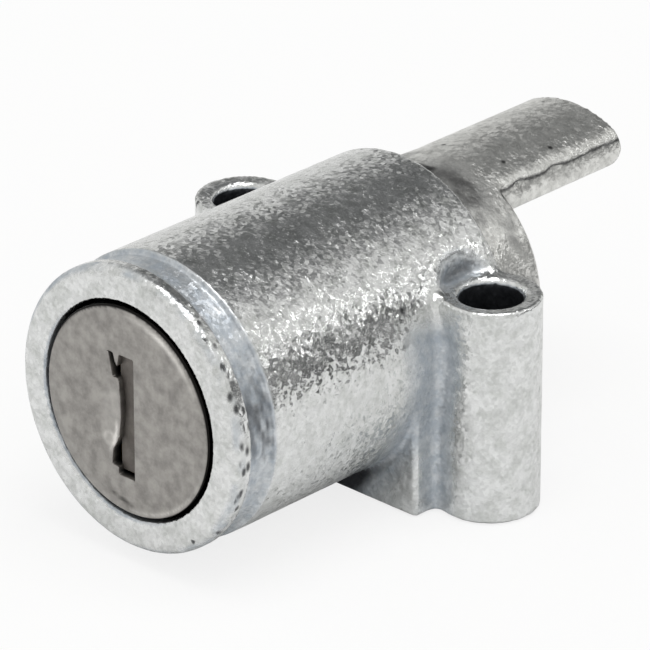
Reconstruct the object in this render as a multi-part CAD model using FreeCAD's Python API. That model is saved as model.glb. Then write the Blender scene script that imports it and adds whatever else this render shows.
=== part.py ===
import FreeCAD, Part
import math
import os

# Battery lock: a die-cast housing screwed down from above, a key plug that
# turns in it, and a cam at the back whose tongue holds the battery.
# All lengths are millimetres.
# Working axes: the plug turns about the Y axis, y = 0 is the front face of the
# housing, Z points up, and X points right as seen from the front.
# The finished pieces are then moved so that the origin lies on the mounting
# base, midway between the two screw holes.

# Housing, outside
AXIS_HEIGHT = 10.95
BARREL_RADIUS = 10.0
FLANGE_RADIUS = 10.0
FLANGE_LENGTH = 1.4
FLANGE_EDGE = 0.35
EDGE_BREAK = 0.3
NECK_RADIUS = 9.5
NECK_LENGTH = 0.55
NECK_FLARE_LENGTH = 1.45
NECK_SHOULDER_LENGTH = 0.25
NECK_FLARE_RISE = 0.22
REAR_EDGE = 0.25

# Mounting bosses and base
SCREW_SPACING = 22.6
SCREW_HOLE_RADIUS = 2.15
BOSS_RADIUS = 3.45
BOSS_TOP = 4.5
BOSS_EDGE = 0.2
HOLES_FROM_FRONT = 22.7
POCKET_RADIUS = 3.4
BASE_WIDTH = 18.8
BASE_FRONT = 17.5
BASE_CORNER = 0.5
BASE_WEB_RADIUS = 0.8
BASE_WEB_TOP = 2.6

# Plug, cap and their bores
PLUG_RADIUS = 6.4
PLUG_HEAD_LENGTH = 2.3
CAP_RADIUS = 7.3
CAP_THICKNESS = 0.35
CAP_LENGTH = 2.6
CAP_RECESS = 0.0
CAP_EDGE = 0.3
CAP_BORE_RADIUS = 7.75
CAP_BORE_EDGE = 0.12
RUNNING_GAP = 0.06
END_GAP = 0.1
CAM_SHOULDER_GAP = 0.3
FIT_GAP = 0.03

# Keyway
KEYWAY_RIGHT = 0.58
KEYWAY_LEFT = -0.67
KEYWAY_TOP = 3.85
KEYWAY_BOTTOM = -4.85
KEYWAY_END = 18.4
KEYWAY_WARD_ROOM = 0.3

# Left side of the keyway's opening in the cap, from the lower ward step to the
# upper one: share of the height from the bottom, and distance left of the waist
LOWER_WARD = ((0.0, 0.23), (0.062, 0.25), (0.066, 0.83), (0.18, 0.80), (0.265, 0.38), (0.315, 0.17))
WAIST = ((0.47, 0.0), (0.65, 0.0), (0.775, 0.13))
UPPER_WARD = ((0.805, 0.25), (0.80, 0.69), (1.0, 1.07), (1.0, 0.63), (0.935, 0.45), (0.897, 0.25), (1.0, 0.07))

# Wafers, their springs and slots
WAFER_COUNT = 6
WAFER_PITCH = 2.1
WAFER_FIRST = 6.4
WAFER_THICKNESS = 1.1
WAFER_WIDTH = 5.2
WAFER_TRAVEL = 0.9
WAFER_GAP = 0.06
WAFER_WINDOW_MARGIN = 0.35
WAFER_LUG = 1.0
WAFER_LUG_HEIGHT = 1.0
WAFER_LUG_TOP = 0.5
KEY_CUT_STEP = 0.4
KEY_CUTS = (2, 0, 3, 1, 2, 0)
SHEAR_GROOVE_GAP = 0.25
SPRING_ROOM = 3.2
SPRING_WIRE = 0.1
SPRING_TURNS = 4
COIL_STEPS = 8

# Dust shutter
SHUTTER_THICKNESS = 0.35
SHUTTER_FACE = 0.15
SHUTTER_PIN_RADIUS = 0.3
SHUTTER_PIN_SIDE = 0.55
SHUTTER_KNUCKLE = 0.55
SHUTTER_LAP = 0.35
SHUTTER_SHORTFALL = 0.25
SHUTTER_END_GAP = 0.15
SHUTTER_PIN_END = 0.5
SHUTTER_WARD_ROOM = 1.15
SHUTTER_POCKET_GAP = 0.2
SHUTTER_SPRING_LENGTH = 1.6
SHUTTER_SPRING_TURNS = 4

# Seal and hardened pins
SEAL_START = 3.5
SEAL_SECTION = 0.35
HARD_PIN_RADIUS = 0.6
HARD_PIN_OFFSET = 4.2
HARD_PIN_LENGTH = 4.0

# Cam with its tongue
CAM_RADIUS = 8.3
CAM_START = 20.3
CAM_END = 31.2
CAM_EDGE = 0.25
TONGUE_END = 43.6
TONGUE_WIDTH = 9.1
TONGUE_UNDERSIDE = 5.2
TONGUE_NOSE_RADIUS = 1.2
TONGUE_EDGE = 0.3
TENON_SIZE = 5.0
TENON_LENGTH = 4.0
TENON_ROOT = 0.5
CAM_COUNTERBORE_RADIUS = 4.2
CAM_COUNTERBORE_DEPTH = 3.5

# Screw and washer that hold the cam on the plug
SCREW_RADIUS = 1.5
SCREW_THREAD_LENGTH = 6.0
SCREW_HEAD_RADIUS = 2.8
SCREW_HEAD_HEIGHT = 2.0
SCREW_TIP_EDGE = 0.3
SCREW_CROWN_START = 0.7
SCREW_CROWN_EDGE = 0.3
SCREW_CROWN_STEP = 0.25
SCREW_CROWN_INSET = 0.9
SCREW_RECESS_WIDTH = 0.7
SCREW_RECESS_REACH = 1.6
SCREW_RECESS_DEPTH = 1.1
WASHER_RADIUS = 3.5
WASHER_THICKNESS = 0.6

# Stop pin that limits the quarter turn
TURN_DEGREES = 90.0
STOP_PIN_RADIUS = 1.0
STOP_PIN_BEHIND_HOLES = 0.8
STOP_GROOVE_DEPTH = 1.2
STOP_GAP = 0.12
STOP_PIN_RECESS = 0.4

# Places that follow from the sizes above
BARREL_LENGTH = HOLES_FROM_FRONT + BOSS_RADIUS
BASE_LEVEL = -AXIS_HEIGHT
PLUG_FACE = CAP_RECESS + CAP_THICKNESS
PLUG_LENGTH = CAM_START - CAM_SHOULDER_GAP
HEAD_END = PLUG_FACE + PLUG_HEAD_LENGTH
CAP_END = CAP_RECESS + CAP_LENGTH
CAP_BORE_DEPTH = max(HEAD_END, CAP_END) + END_GAP
HOUSING_BORE_RADIUS = PLUG_RADIUS + RUNNING_GAP
CAM_BORE_RADIUS = CAM_RADIUS + RUNNING_GAP
CAM_SEAT = CAM_START - END_GAP
HEAD_RADIUS = CAP_RADIUS - CAP_THICKNESS - FIT_GAP
WAFER_SLOT = WAFER_THICKNESS + 2 * WAFER_GAP
STOP_PIN_PLACE = HOLES_FROM_FRONT + STOP_PIN_BEHIND_HOLES
STOP_GROOVE_RADIUS = STOP_PIN_RADIUS + STOP_GAP
PIVOT_X = KEYWAY_RIGHT + SHUTTER_PIN_SIDE
PIVOT_Y = PLUG_FACE + SHUTTER_FACE + SHUTTER_KNUCKLE
SPRING_COIL_RADIUS = WAFER_THICKNESS / 2 - SPRING_WIRE
SPRING_X = WAFER_WIDTH / 2 + WAFER_LUG / 2
SPRING_SEAT = WAFER_LUG_TOP + SPRING_ROOM

AXIS_Y = FreeCAD.Vector(0, 1, 0)
ORIGIN = FreeCAD.Vector(0, 0, 0)


def cylinder_y(radius, start, end, x=0.0, z=0.0):
    """Round bar along the lock axis."""
    return Part.makeCylinder(radius, end - start, FreeCAD.Vector(x, start, z), AXIS_Y)


def cylinder_z(radius, bottom, top, x=0.0, y=0.0):
    """Upright round bar."""
    return Part.makeCylinder(radius, top - bottom, FreeCAD.Vector(x, y, bottom))


def block(left, right, front, back, bottom, top):
    """Rectangular block between the six given planes."""
    return Part.makeBox(right - left, back - front, top - bottom, FreeCAD.Vector(left, front, bottom))


def turned(profile):
    """Body turned about the lock axis from (radius, y) points."""
    face = flat_face([FreeCAD.Vector(radius, y, 0) for radius, y in profile])
    return face.revolve(ORIGIN, AXIS_Y, 360)


def flat_face(points):
    """Plane face inside a closed outline."""
    return Part.Face(Part.makePolygon(points + points[:1]))


def upright(outline, bottom, top):
    """Prism that stands on an outline of (x, y) points."""
    face = flat_face([FreeCAD.Vector(x, y, bottom) for x, y in outline])
    return face.extrude(FreeCAD.Vector(0, 0, top - bottom))


def lengthwise(outline, start, end):
    """Prism along the lock axis from an outline of (x, z) points."""
    face = flat_face([FreeCAD.Vector(x, start, z) for x, z in outline])
    return face.extrude(FreeCAD.Vector(0, end - start, 0))


def coil(coil_radius, wire_radius, height, turns, x, y, bottom):
    """Upright spring of square wire, one unbroken helix closed from flat facets."""
    climb = (height - 2 * wire_radius) / turns
    steps = turns * COIL_STEPS
    inner = coil_radius - wire_radius
    outer = coil_radius + wire_radius
    section = [(inner, -wire_radius), (outer, -wire_radius), (outer, wire_radius), (inner, wire_radius)]
    rings = []
    for step in range(steps + 1):
        angle = 2 * math.pi * step / COIL_STEPS
        level = bottom + wire_radius + climb * step / COIL_STEPS
        ring = []
        for radius, rise in section:
            px = x + radius * math.cos(angle)
            py = y + radius * math.sin(angle)
            ring.append(FreeCAD.Vector(px, py, level + rise))
        rings.append(ring)
    faces = [flat_face(rings[0]), flat_face(rings[-1])]
    for near, far in zip(rings, rings[1:]):
        for side in range(4):
            after = (side + 1) % 4
            faces.append(flat_face([near[side], near[after], far[side]]))
            faces.append(flat_face([near[after], far[after], far[side]]))
    spring = Part.Solid(Part.Shell(faces))
    spring.fix(1e-7, 1e-7, 1e-7)
    return spring


def barrel():
    """Barrel with its front flange and the shallow flared neck behind it."""
    neck_end = FLANGE_LENGTH + NECK_LENGTH
    flare_end = neck_end + NECK_FLARE_LENGTH
    profile = [
        (0, 0),
        (FLANGE_RADIUS - FLANGE_EDGE, 0),
        (FLANGE_RADIUS - EDGE_BREAK * FLANGE_EDGE, EDGE_BREAK * FLANGE_EDGE),
        (FLANGE_RADIUS, FLANGE_EDGE),
        (FLANGE_RADIUS, FLANGE_LENGTH),
        (NECK_RADIUS, FLANGE_LENGTH),
        (NECK_RADIUS, neck_end),
        (NECK_RADIUS + NECK_FLARE_RISE, flare_end),
        (BARREL_RADIUS, flare_end + NECK_SHOULDER_LENGTH),
        (BARREL_RADIUS, BARREL_LENGTH - REAR_EDGE),
        (BARREL_RADIUS - REAR_EDGE, BARREL_LENGTH),
        (0, BARREL_LENGTH),
    ]
    return turned(profile)


def base_block():
    """Foot under the barrel, with rounded front corners."""
    half = BASE_WIDTH / 2
    foot = block(-half, half, BASE_FRONT, BARREL_LENGTH, BASE_LEVEL, BASE_WEB_TOP)
    corners = []
    for edge in foot.Edges:
        box = edge.BoundBox
        if box.ZLength > 1 and box.YMax < BASE_FRONT + 0.01:
            corners.append(edge)
    return foot.makeFillet(BASE_CORNER, corners)


def boss_web(side):
    """Hollow fillet that joins the side of the foot to a screw boss."""
    half = BASE_WIDTH / 2
    centre_x = half + BASE_WEB_RADIUS
    reach = BOSS_RADIUS + BASE_WEB_RADIUS
    boss_x = SCREW_SPACING / 2
    centre_y = HOLES_FROM_FRONT - math.sqrt(reach ** 2 - (boss_x - centre_x) ** 2)
    outline = [
        (side * (half - 1), centre_y),
        (side * centre_x, centre_y),
        (side * boss_x, HOLES_FROM_FRONT),
        (side * (half - 1), HOLES_FROM_FRONT),
    ]
    web = upright(outline, BASE_LEVEL, BASE_WEB_TOP)
    hollow = cylinder_z(BASE_WEB_RADIUS, BASE_LEVEL - 1, BASE_WEB_TOP + 1, side * centre_x, centre_y)
    return web.cut(hollow)


def boss(side):
    """Screw boss with a broken top edge."""
    post = cylinder_z(BOSS_RADIUS, BASE_LEVEL, BOSS_TOP, side * SCREW_SPACING / 2, HOLES_FROM_FRONT)
    rims = [edge for edge in post.Edges if edge.BoundBox.ZMin > BOSS_TOP - 0.01]
    return post.makeChamfer(BOSS_EDGE, rims)


def screw_pocket(side):
    """Room above a boss for the screw head, and the hole down through the boss."""
    x = side * SCREW_SPACING / 2
    above = FLANGE_RADIUS + 1
    pocket = cylinder_z(POCKET_RADIUS, BOSS_TOP, above, x, HOLES_FROM_FRONT)
    hole = cylinder_z(SCREW_HOLE_RADIUS, BASE_LEVEL - 1, above, x, HOLES_FROM_FRONT)
    edge = Part.makeCone(
        SCREW_HOLE_RADIUS,
        SCREW_HOLE_RADIUS + BOSS_EDGE,
        BOSS_EDGE,
        FreeCAD.Vector(x, HOLES_FROM_FRONT, BOSS_TOP - BOSS_EDGE),
    )
    return pocket.fuse([hole, edge])


def plug_bores():
    """Bore for the plug, wider at the front for the cap and behind for the cam."""
    profile = [
        (0, -1),
        (CAP_BORE_RADIUS + CAP_BORE_EDGE, -1),
        (CAP_BORE_RADIUS + CAP_BORE_EDGE, 0),
        (CAP_BORE_RADIUS, CAP_BORE_EDGE),
        (CAP_BORE_RADIUS, CAP_BORE_DEPTH),
        (HOUSING_BORE_RADIUS, CAP_BORE_DEPTH),
        (HOUSING_BORE_RADIUS, CAM_SEAT),
        (CAM_BORE_RADIUS, CAM_SEAT),
        (CAM_BORE_RADIUS, BARREL_LENGTH + 1),
        (0, BARREL_LENGTH + 1),
    ]
    return turned(profile)


def shear_grooves():
    """Grooves that the wafers drop into, one for each place where the key comes out."""
    half = WAFER_WIDTH / 2 + SHEAR_GROOVE_GAP
    depth = PLUG_RADIUS + WAFER_TRAVEL + SHEAR_GROOVE_GAP
    front = WAFER_FIRST - WAFER_SLOT / 2 - SHEAR_GROOVE_GAP
    lower = block(-half, half, front, CAM_SEAT + END_GAP / 2, -depth, 0)
    turned_groove = lower.copy()
    turned_groove.rotate(ORIGIN, AXIS_Y, TURN_DEGREES)
    return lower.fuse(turned_groove)


def stop_pin_hole():
    """Hole pressed full by the stop pin, open at the base."""
    return cylinder_z(STOP_PIN_RADIUS, BASE_LEVEL - 1, -CAM_RADIUS + 1, 0, STOP_PIN_PLACE)


def make_housing():
    """Die-cast housing: barrel, foot, bosses and all of its bores."""
    body = barrel().fuse([base_block(), boss(-1), boss(1), boss_web(-1), boss_web(1)])
    cuts = [screw_pocket(-1), screw_pocket(1), plug_bores(), shear_grooves(), stop_pin_hole()]
    return body.cut(cuts)


def keyway_outline():
    """Outline of the keyway: a tall slot with a ward step at each end of its left side."""
    height = KEYWAY_TOP - KEYWAY_BOTTOM
    outline = [(KEYWAY_RIGHT, KEYWAY_TOP), (KEYWAY_RIGHT, KEYWAY_BOTTOM)]
    for share, reach in LOWER_WARD + WAIST + UPPER_WARD:
        outline.append((KEYWAY_LEFT - reach, KEYWAY_BOTTOM + share * height))
    return outline


def make_plug_cap():
    """Pressed steel cap over the plug head, with the keyway opening."""
    inner = CAP_RADIUS - CAP_THICKNESS
    profile = [
        (0, CAP_RECESS),
        (CAP_RADIUS - CAP_EDGE, CAP_RECESS),
        (CAP_RADIUS - EDGE_BREAK * CAP_EDGE, CAP_RECESS + EDGE_BREAK * CAP_EDGE),
        (CAP_RADIUS, CAP_RECESS + CAP_EDGE),
        (CAP_RADIUS, CAP_END),
        (inner, CAP_END),
        (inner, PLUG_FACE),
        (0, PLUG_FACE),
    ]
    opening = lengthwise(keyway_outline(), CAP_RECESS - 1, PLUG_FACE + 1)
    return turned(profile).cut(opening)


def wafer_place(index):
    """Distance of a wafer's middle from the front face."""
    return WAFER_FIRST + index * WAFER_PITCH


def wafer_slot(index):
    """Slot across the plug for one wafer, with the pocket for its lug and spring."""
    middle = wafer_place(index)
    front = middle - WAFER_SLOT / 2
    back = middle + WAFER_SLOT / 2
    half = WAFER_WIDTH / 2 + WAFER_GAP
    slot = block(-half, half, front, back, -PLUG_RADIUS - 1, PLUG_RADIUS + 1)
    lug_bottom = WAFER_LUG_TOP - WAFER_LUG_HEIGHT - WAFER_TRAVEL - WAFER_GAP
    pocket = block(0, half + WAFER_LUG + WAFER_GAP, front, back, lug_bottom, SPRING_SEAT)
    return slot.fuse(pocket)


def shutter_pocket():
    """Room behind the cap in which the dust shutter swings inwards."""
    left = KEYWAY_LEFT - SHUTTER_WARD_ROOM
    right = PIVOT_X + SHUTTER_KNUCKLE + SHUTTER_POCKET_GAP
    swing = PIVOT_X - KEYWAY_LEFT + SHUTTER_LAP
    back = PIVOT_Y + swing + SHUTTER_POCKET_GAP
    top = KEYWAY_TOP + SHUTTER_END_GAP
    bottom = KEYWAY_BOTTOM - SHUTTER_END_GAP
    return block(left, right, PLUG_FACE - 1, back, bottom, top)


def shutter_pin_length():
    """Lowest and highest end of the shutter pin."""
    reach = SHUTTER_END_GAP + SHUTTER_PIN_END
    return KEYWAY_BOTTOM - reach, KEYWAY_TOP + reach


def shutter_pin_room():
    """Slot that lets the shutter pin be laid into the plug head before the cap goes on."""
    low, high = shutter_pin_length()
    radius = SHUTTER_PIN_RADIUS + FIT_GAP
    seat = cylinder_z(radius, low, high, PIVOT_X, PIVOT_Y)
    way = block(PIVOT_X - radius, PIVOT_X + radius, PLUG_FACE - 1, PIVOT_Y, low, high)
    return seat.fuse(way)


def hard_pin_holes():
    """Two blind holes beside the keyway for the hardened pins."""
    end = PLUG_FACE + HARD_PIN_LENGTH
    left = cylinder_y(HARD_PIN_RADIUS, PLUG_FACE - 1, end, -HARD_PIN_OFFSET)
    right = cylinder_y(HARD_PIN_RADIUS, PLUG_FACE - 1, end, HARD_PIN_OFFSET)
    return left.fuse(right)


def seal_width():
    """Width of the seal's groove along the plug."""
    return 2 * SEAL_SECTION + 2 * FIT_GAP


def keyway_channel():
    """Keyway through the plug, wide enough for the ward steps of the cap's opening."""
    left = KEYWAY_LEFT - KEYWAY_WARD_ROOM
    right = KEYWAY_RIGHT + FIT_GAP
    return block(left, right, PLUG_FACE - 1, KEYWAY_END, KEYWAY_BOTTOM - FIT_GAP, KEYWAY_TOP + FIT_GAP)


def make_plug():
    """Plug: head, seal groove, wafer slots, keyway and the square tenon for the cam."""
    seal_end = SEAL_START + seal_width()
    groove_floor = PLUG_RADIUS - 2 * SEAL_SECTION
    profile = [
        (0, PLUG_FACE),
        (HEAD_RADIUS, PLUG_FACE),
        (HEAD_RADIUS, HEAD_END),
        (PLUG_RADIUS, HEAD_END),
        (PLUG_RADIUS, SEAL_START),
        (groove_floor, SEAL_START),
        (groove_floor, seal_end),
        (PLUG_RADIUS, seal_end),
        (PLUG_RADIUS, PLUG_LENGTH),
        (0, PLUG_LENGTH),
    ]
    half = TENON_SIZE / 2
    tenon = block(-half, half, PLUG_LENGTH - TENON_ROOT, CAM_START + TENON_LENGTH, -half, half)
    body = turned(profile).fuse(tenon)
    thread_start = CAM_START + TENON_LENGTH - SCREW_THREAD_LENGTH
    thread = cylinder_y(SCREW_RADIUS + FIT_GAP, thread_start, CAM_START + TENON_LENGTH + 1)
    cuts = [wafer_slot(index) for index in range(WAFER_COUNT)]
    cuts.append(keyway_channel())
    cuts += [shutter_pocket(), shutter_pin_room(), hard_pin_holes(), thread]
    return body.cut(cuts).removeSplitter()


def make_hard_pins():
    """Two hardened pins that stop a drill beside the keyway."""
    start = PLUG_FACE + FIT_GAP
    end = PLUG_FACE + HARD_PIN_LENGTH - FIT_GAP
    radius = HARD_PIN_RADIUS - FIT_GAP
    pins = [cylinder_y(radius, start, end, side * HARD_PIN_OFFSET) for side in (-1, 1)]
    return Part.Compound(pins)


def make_seal():
    """Rubber ring of eight-sided section in the plug's groove, which keeps water out."""
    middle = SEAL_START + seal_width() / 2
    centre = PLUG_RADIUS - SEAL_SECTION
    profile = []
    for corner in range(8):
        angle = math.radians(22.5 + 45 * corner)
        reach = SEAL_SECTION / math.cos(math.radians(22.5))
        profile.append((centre + reach * math.cos(angle), middle + reach * math.sin(angle)))
    return turned(profile)


def make_shutter():
    """Dust shutter: a leaf behind the keyway opening, rolled round its pin."""
    low = KEYWAY_BOTTOM + SHUTTER_SHORTFALL
    high = KEYWAY_TOP
    leaf_front = PLUG_FACE + SHUTTER_FACE
    leaf_left = KEYWAY_LEFT - SHUTTER_LAP
    leaf = block(leaf_left, PIVOT_X, leaf_front, leaf_front + SHUTTER_THICKNESS, low, high)
    knuckle_top = high - SHUTTER_SPRING_LENGTH
    knuckle = cylinder_z(SHUTTER_KNUCKLE, low, knuckle_top, PIVOT_X, PIVOT_Y)
    bore = cylinder_z(SHUTTER_PIN_RADIUS + FIT_GAP, low - 1, high + 1, PIVOT_X, PIVOT_Y)
    notch_left = PIVOT_X - SHUTTER_KNUCKLE - SHUTTER_END_GAP
    notch = block(notch_left, PIVOT_X + 1, leaf_front - 1, PIVOT_Y + 1, knuckle_top, high + 1)
    return leaf.fuse(knuckle).cut([bore, notch]).removeSplitter()


def make_shutter_pin():
    """Pin that the dust shutter swings on."""
    low, high = shutter_pin_length()
    return cylinder_z(SHUTTER_PIN_RADIUS, low + FIT_GAP, high - FIT_GAP, PIVOT_X, PIVOT_Y)


def make_shutter_spring():
    """Wound spring on the pin that closes the dust shutter."""
    bottom = KEYWAY_TOP - SHUTTER_SPRING_LENGTH + FIT_GAP
    height = SHUTTER_SPRING_LENGTH - 2 * FIT_GAP
    coil_radius = SHUTTER_PIN_RADIUS + SPRING_WIRE + FIT_GAP
    return coil(coil_radius, SPRING_WIRE, height, SHUTTER_SPRING_TURNS, PIVOT_X, PIVOT_Y, bottom)


def make_wafer(index):
    """Wafer with the window for its cut of the key and a lug for its spring."""
    middle = wafer_place(index)
    front = middle - WAFER_THICKNESS / 2
    back = middle + WAFER_THICKNESS / 2
    half = WAFER_WIDTH / 2
    plate = block(-half, half, front, back, -PLUG_RADIUS, PLUG_RADIUS)
    plate = plate.common(cylinder_y(PLUG_RADIUS, front, back))
    lug_bottom = WAFER_LUG_TOP - WAFER_LUG_HEIGHT
    lug = block(0, half + WAFER_LUG, front, back, lug_bottom, WAFER_LUG_TOP)
    sill = KEYWAY_BOTTOM + WAFER_WINDOW_MARGIN + KEY_CUT_STEP * KEY_CUTS[index % len(KEY_CUTS)]
    window = block(
        KEYWAY_LEFT - WAFER_WINDOW_MARGIN,
        KEYWAY_RIGHT + WAFER_WINDOW_MARGIN,
        front - 1,
        back + 1,
        sill,
        KEYWAY_TOP + WAFER_WINDOW_MARGIN,
    )
    return plate.fuse(lug).cut(window).removeSplitter()


def make_wafer_spring(index):
    """Small spring between a wafer's lug and the plug."""
    bottom = WAFER_LUG_TOP + FIT_GAP
    height = SPRING_ROOM - 2 * FIT_GAP
    place = wafer_place(index)
    return coil(SPRING_COIL_RADIUS, SPRING_WIRE, height, SPRING_TURNS, SPRING_X, place, bottom)


def stop_groove():
    """Quarter-turn groove round the cam, as wide as the stop pin and its clearance."""
    outer = CAM_RADIUS + 1
    floor = CAM_RADIUS - STOP_GROOVE_DEPTH
    front = STOP_PIN_PLACE - STOP_GROOVE_RADIUS
    back = STOP_PIN_PLACE + STOP_GROOVE_RADIUS
    corners = [
        FreeCAD.Vector(0, front, -outer),
        FreeCAD.Vector(0, back, -outer),
        FreeCAD.Vector(0, back, -floor),
        FreeCAD.Vector(0, front, -floor),
    ]
    section = flat_face(corners)
    sweep = section.revolve(ORIGIN, AXIS_Y, -TURN_DEGREES)
    end = cylinder_z(STOP_GROOVE_RADIUS, -outer, -floor, 0, STOP_PIN_PLACE)
    far_end = end.copy()
    far_end.rotate(ORIGIN, AXIS_Y, -TURN_DEGREES)
    return sweep.fuse([end, far_end])


def tongue():
    """Tongue: a segment of the cam's own round, flat below, with a rounded nose."""
    half = TONGUE_WIDTH / 2
    bar = cylinder_y(CAM_RADIUS, CAM_END - 1, TONGUE_END)
    keep = block(-half, half, CAM_END - 1, TONGUE_END, TONGUE_UNDERSIDE, CAM_RADIUS + 1)
    shape = bar.common(keep)
    lower_nose = []
    upper_nose = []
    for edge in shape.Edges:
        box = edge.BoundBox
        if box.YMin > TONGUE_END - 0.01 and box.XLength > 1:
            if box.ZMax < TONGUE_UNDERSIDE + 0.01:
                lower_nose.append(edge)
            else:
                upper_nose.append(edge)
    shape = shape.makeFillet(TONGUE_NOSE_RADIUS, lower_nose)
    crown = []
    for edge in shape.Edges:
        box = edge.BoundBox
        if box.YMin > TONGUE_END - 0.01 and box.ZMax > CAM_RADIUS - 0.1:
            crown.append(edge)
    return shape.makeChamfer(TONGUE_EDGE, crown)


def make_cam_tongue():
    """Cam that turns in the back of the housing, with the tongue that holds the battery."""
    profile = [
        (0, CAM_START),
        (CAM_RADIUS, CAM_START),
        (CAM_RADIUS, CAM_END - CAM_EDGE),
        (CAM_RADIUS - CAM_EDGE, CAM_END),
        (0, CAM_END),
    ]
    body = turned(profile).fuse(tongue())
    half = TENON_SIZE / 2 + FIT_GAP
    socket_end = CAM_START + TENON_LENGTH + END_GAP
    socket = block(-half, half, CAM_START - 1, socket_end, -half, half)
    hole = cylinder_y(SCREW_RADIUS + END_GAP, CAM_START, CAM_END + 1)
    counterbore = cylinder_y(CAM_COUNTERBORE_RADIUS, CAM_END - CAM_COUNTERBORE_DEPTH, CAM_END + 1)
    return body.cut([socket, hole, counterbore, stop_groove()]).removeSplitter()


def make_cam_washer():
    """Spring washer under the screw head."""
    seat = CAM_END - CAM_COUNTERBORE_DEPTH
    disc = cylinder_y(WASHER_RADIUS, seat, seat + WASHER_THICKNESS)
    return disc.cut(cylinder_y(SCREW_RADIUS + END_GAP, seat - 1, seat + WASHER_THICKNESS + 1))


def make_cam_screw():
    """Pan-head screw with a cross recess that holds the cam on the plug."""
    head_start = CAM_END - CAM_COUNTERBORE_DEPTH + WASHER_THICKNESS
    head_end = head_start + SCREW_HEAD_HEIGHT
    tip = CAM_START + TENON_LENGTH - SCREW_THREAD_LENGTH + END_GAP
    profile = [
        (0, tip),
        (SCREW_RADIUS - SCREW_TIP_EDGE, tip),
        (SCREW_RADIUS, tip + SCREW_TIP_EDGE),
        (SCREW_RADIUS, head_start),
        (SCREW_HEAD_RADIUS, head_start),
        (SCREW_HEAD_RADIUS, head_end - SCREW_CROWN_START),
        (SCREW_HEAD_RADIUS - SCREW_CROWN_STEP, head_end - SCREW_CROWN_EDGE),
        (SCREW_HEAD_RADIUS - SCREW_CROWN_INSET, head_end),
        (0, head_end),
    ]
    half = SCREW_RECESS_WIDTH / 2
    reach = SCREW_RECESS_REACH
    floor = head_end - SCREW_RECESS_DEPTH
    upright_slot = block(-half, half, floor, head_end + 1, -reach, reach)
    level_slot = block(-reach, reach, floor, head_end + 1, -half, half)
    return turned(profile).cut([upright_slot, level_slot])


def make_stop_pin():
    """Dowel pressed up from the base, whose tip runs in the cam's groove."""
    tip = -CAM_RADIUS + STOP_GROOVE_DEPTH - STOP_GAP
    bottom = BASE_LEVEL + STOP_PIN_RECESS
    pin = cylinder_z(STOP_PIN_RADIUS, bottom, tip, 0, STOP_PIN_PLACE)
    rims = [edge for edge in pin.Edges if edge.BoundBox.ZLength < 0.01]
    return pin.makeChamfer(STOP_GAP, rims)


def write(name, shape):
    """Move a piece to the mounting origin and save it."""
    placed = shape.copy()
    placed.translate(FreeCAD.Vector(0, -HOLES_FROM_FRONT, AXIS_HEIGHT))
    placed.exportStep("parts/" + name + ".step")
    solids = len(placed.Solids)
    print(name, "solids", solids, "volume", round(placed.Volume, 3), "valid", placed.isValid())


def main():
    """Build every piece and write its file."""
    os.makedirs("parts", exist_ok=True)
    write("housing", make_housing())
    write("stop_pin", make_stop_pin())
    write("plug", make_plug())
    write("plug_cap", make_plug_cap())
    write("hardened_pins", make_hard_pins())
    write("seal_ring", make_seal())
    write("shutter", make_shutter())
    write("shutter_pin", make_shutter_pin())
    write("shutter_spring", make_shutter_spring())
    for index in range(WAFER_COUNT):
        write("wafer_%d" % (index + 1), make_wafer(index))
        write("wafer_spring_%d" % (index + 1), make_wafer_spring(index))
    write("cam_tongue", make_cam_tongue())
    write("cam_washer", make_cam_washer())
    write("cam_screw", make_cam_screw())


main()
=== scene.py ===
"""Looks of the battery lock: cast surfaces, metal finishes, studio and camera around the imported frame."""

import logging
import math
from dataclasses import dataclass
from enum import Enum
from functools import partial
from typing import Callable, Sequence

import bmesh
import bpy
import numpy as np
from mathutils import Matrix, Vector
from mathutils.geometry import delaunay_2d_cdt


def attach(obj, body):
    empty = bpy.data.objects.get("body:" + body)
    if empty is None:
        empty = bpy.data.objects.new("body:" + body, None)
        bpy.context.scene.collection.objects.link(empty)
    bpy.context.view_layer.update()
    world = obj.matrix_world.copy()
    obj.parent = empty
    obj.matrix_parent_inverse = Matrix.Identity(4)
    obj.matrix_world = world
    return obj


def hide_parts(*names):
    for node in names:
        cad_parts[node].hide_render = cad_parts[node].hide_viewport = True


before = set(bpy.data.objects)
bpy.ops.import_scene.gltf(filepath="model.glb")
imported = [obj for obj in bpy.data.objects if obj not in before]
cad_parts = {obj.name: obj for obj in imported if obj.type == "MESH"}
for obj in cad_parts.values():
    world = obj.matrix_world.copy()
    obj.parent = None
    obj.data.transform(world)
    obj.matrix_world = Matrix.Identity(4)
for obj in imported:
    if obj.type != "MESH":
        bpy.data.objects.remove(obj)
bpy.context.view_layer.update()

LOG = logging.getLogger("battery_lock")
logging.basicConfig(level=logging.INFO, format="%(name)s: %(message)s")

MM = 0.001
WAFERS = range(1, 7)

# The attribute recess coats the metal with film up to this value, and beyond it darkens the colour as painted
# shade.
FULL_FILM = 0.6
# The attribute parting where the mould left no line.
NO_PARTING_MM = 9.0
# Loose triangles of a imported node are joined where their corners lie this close.
JOIN_MM = 0.002
# How far off the skin a hollow is looked for.
HOLLOW_REACHES_MM = (1.5, 3.0, 4.5)
# How far a skin's points move towards their neighbours before each step onto its field.
EASING = (0.45, 0.45, 0.45, 0.45, 0.0, 0.0)
# Height and size of the casting's fine lumps in millimetres, and their seed.
LUMPS = ((0.006, 0.9, 5), (0.004, 0.45, 9))

Array = np.ndarray
Field = Callable[[Array], Array]
Maker = Callable[..., bpy.types.Node]
Colour = tuple[float, float, float, float]
Zoom = tuple[tuple[float, ...], tuple[float, ...]]


class Body(Enum):
    """Moving bodies that a new piece rides on."""

    HOUSING = "housing"
    PLUG = "plug"


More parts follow.
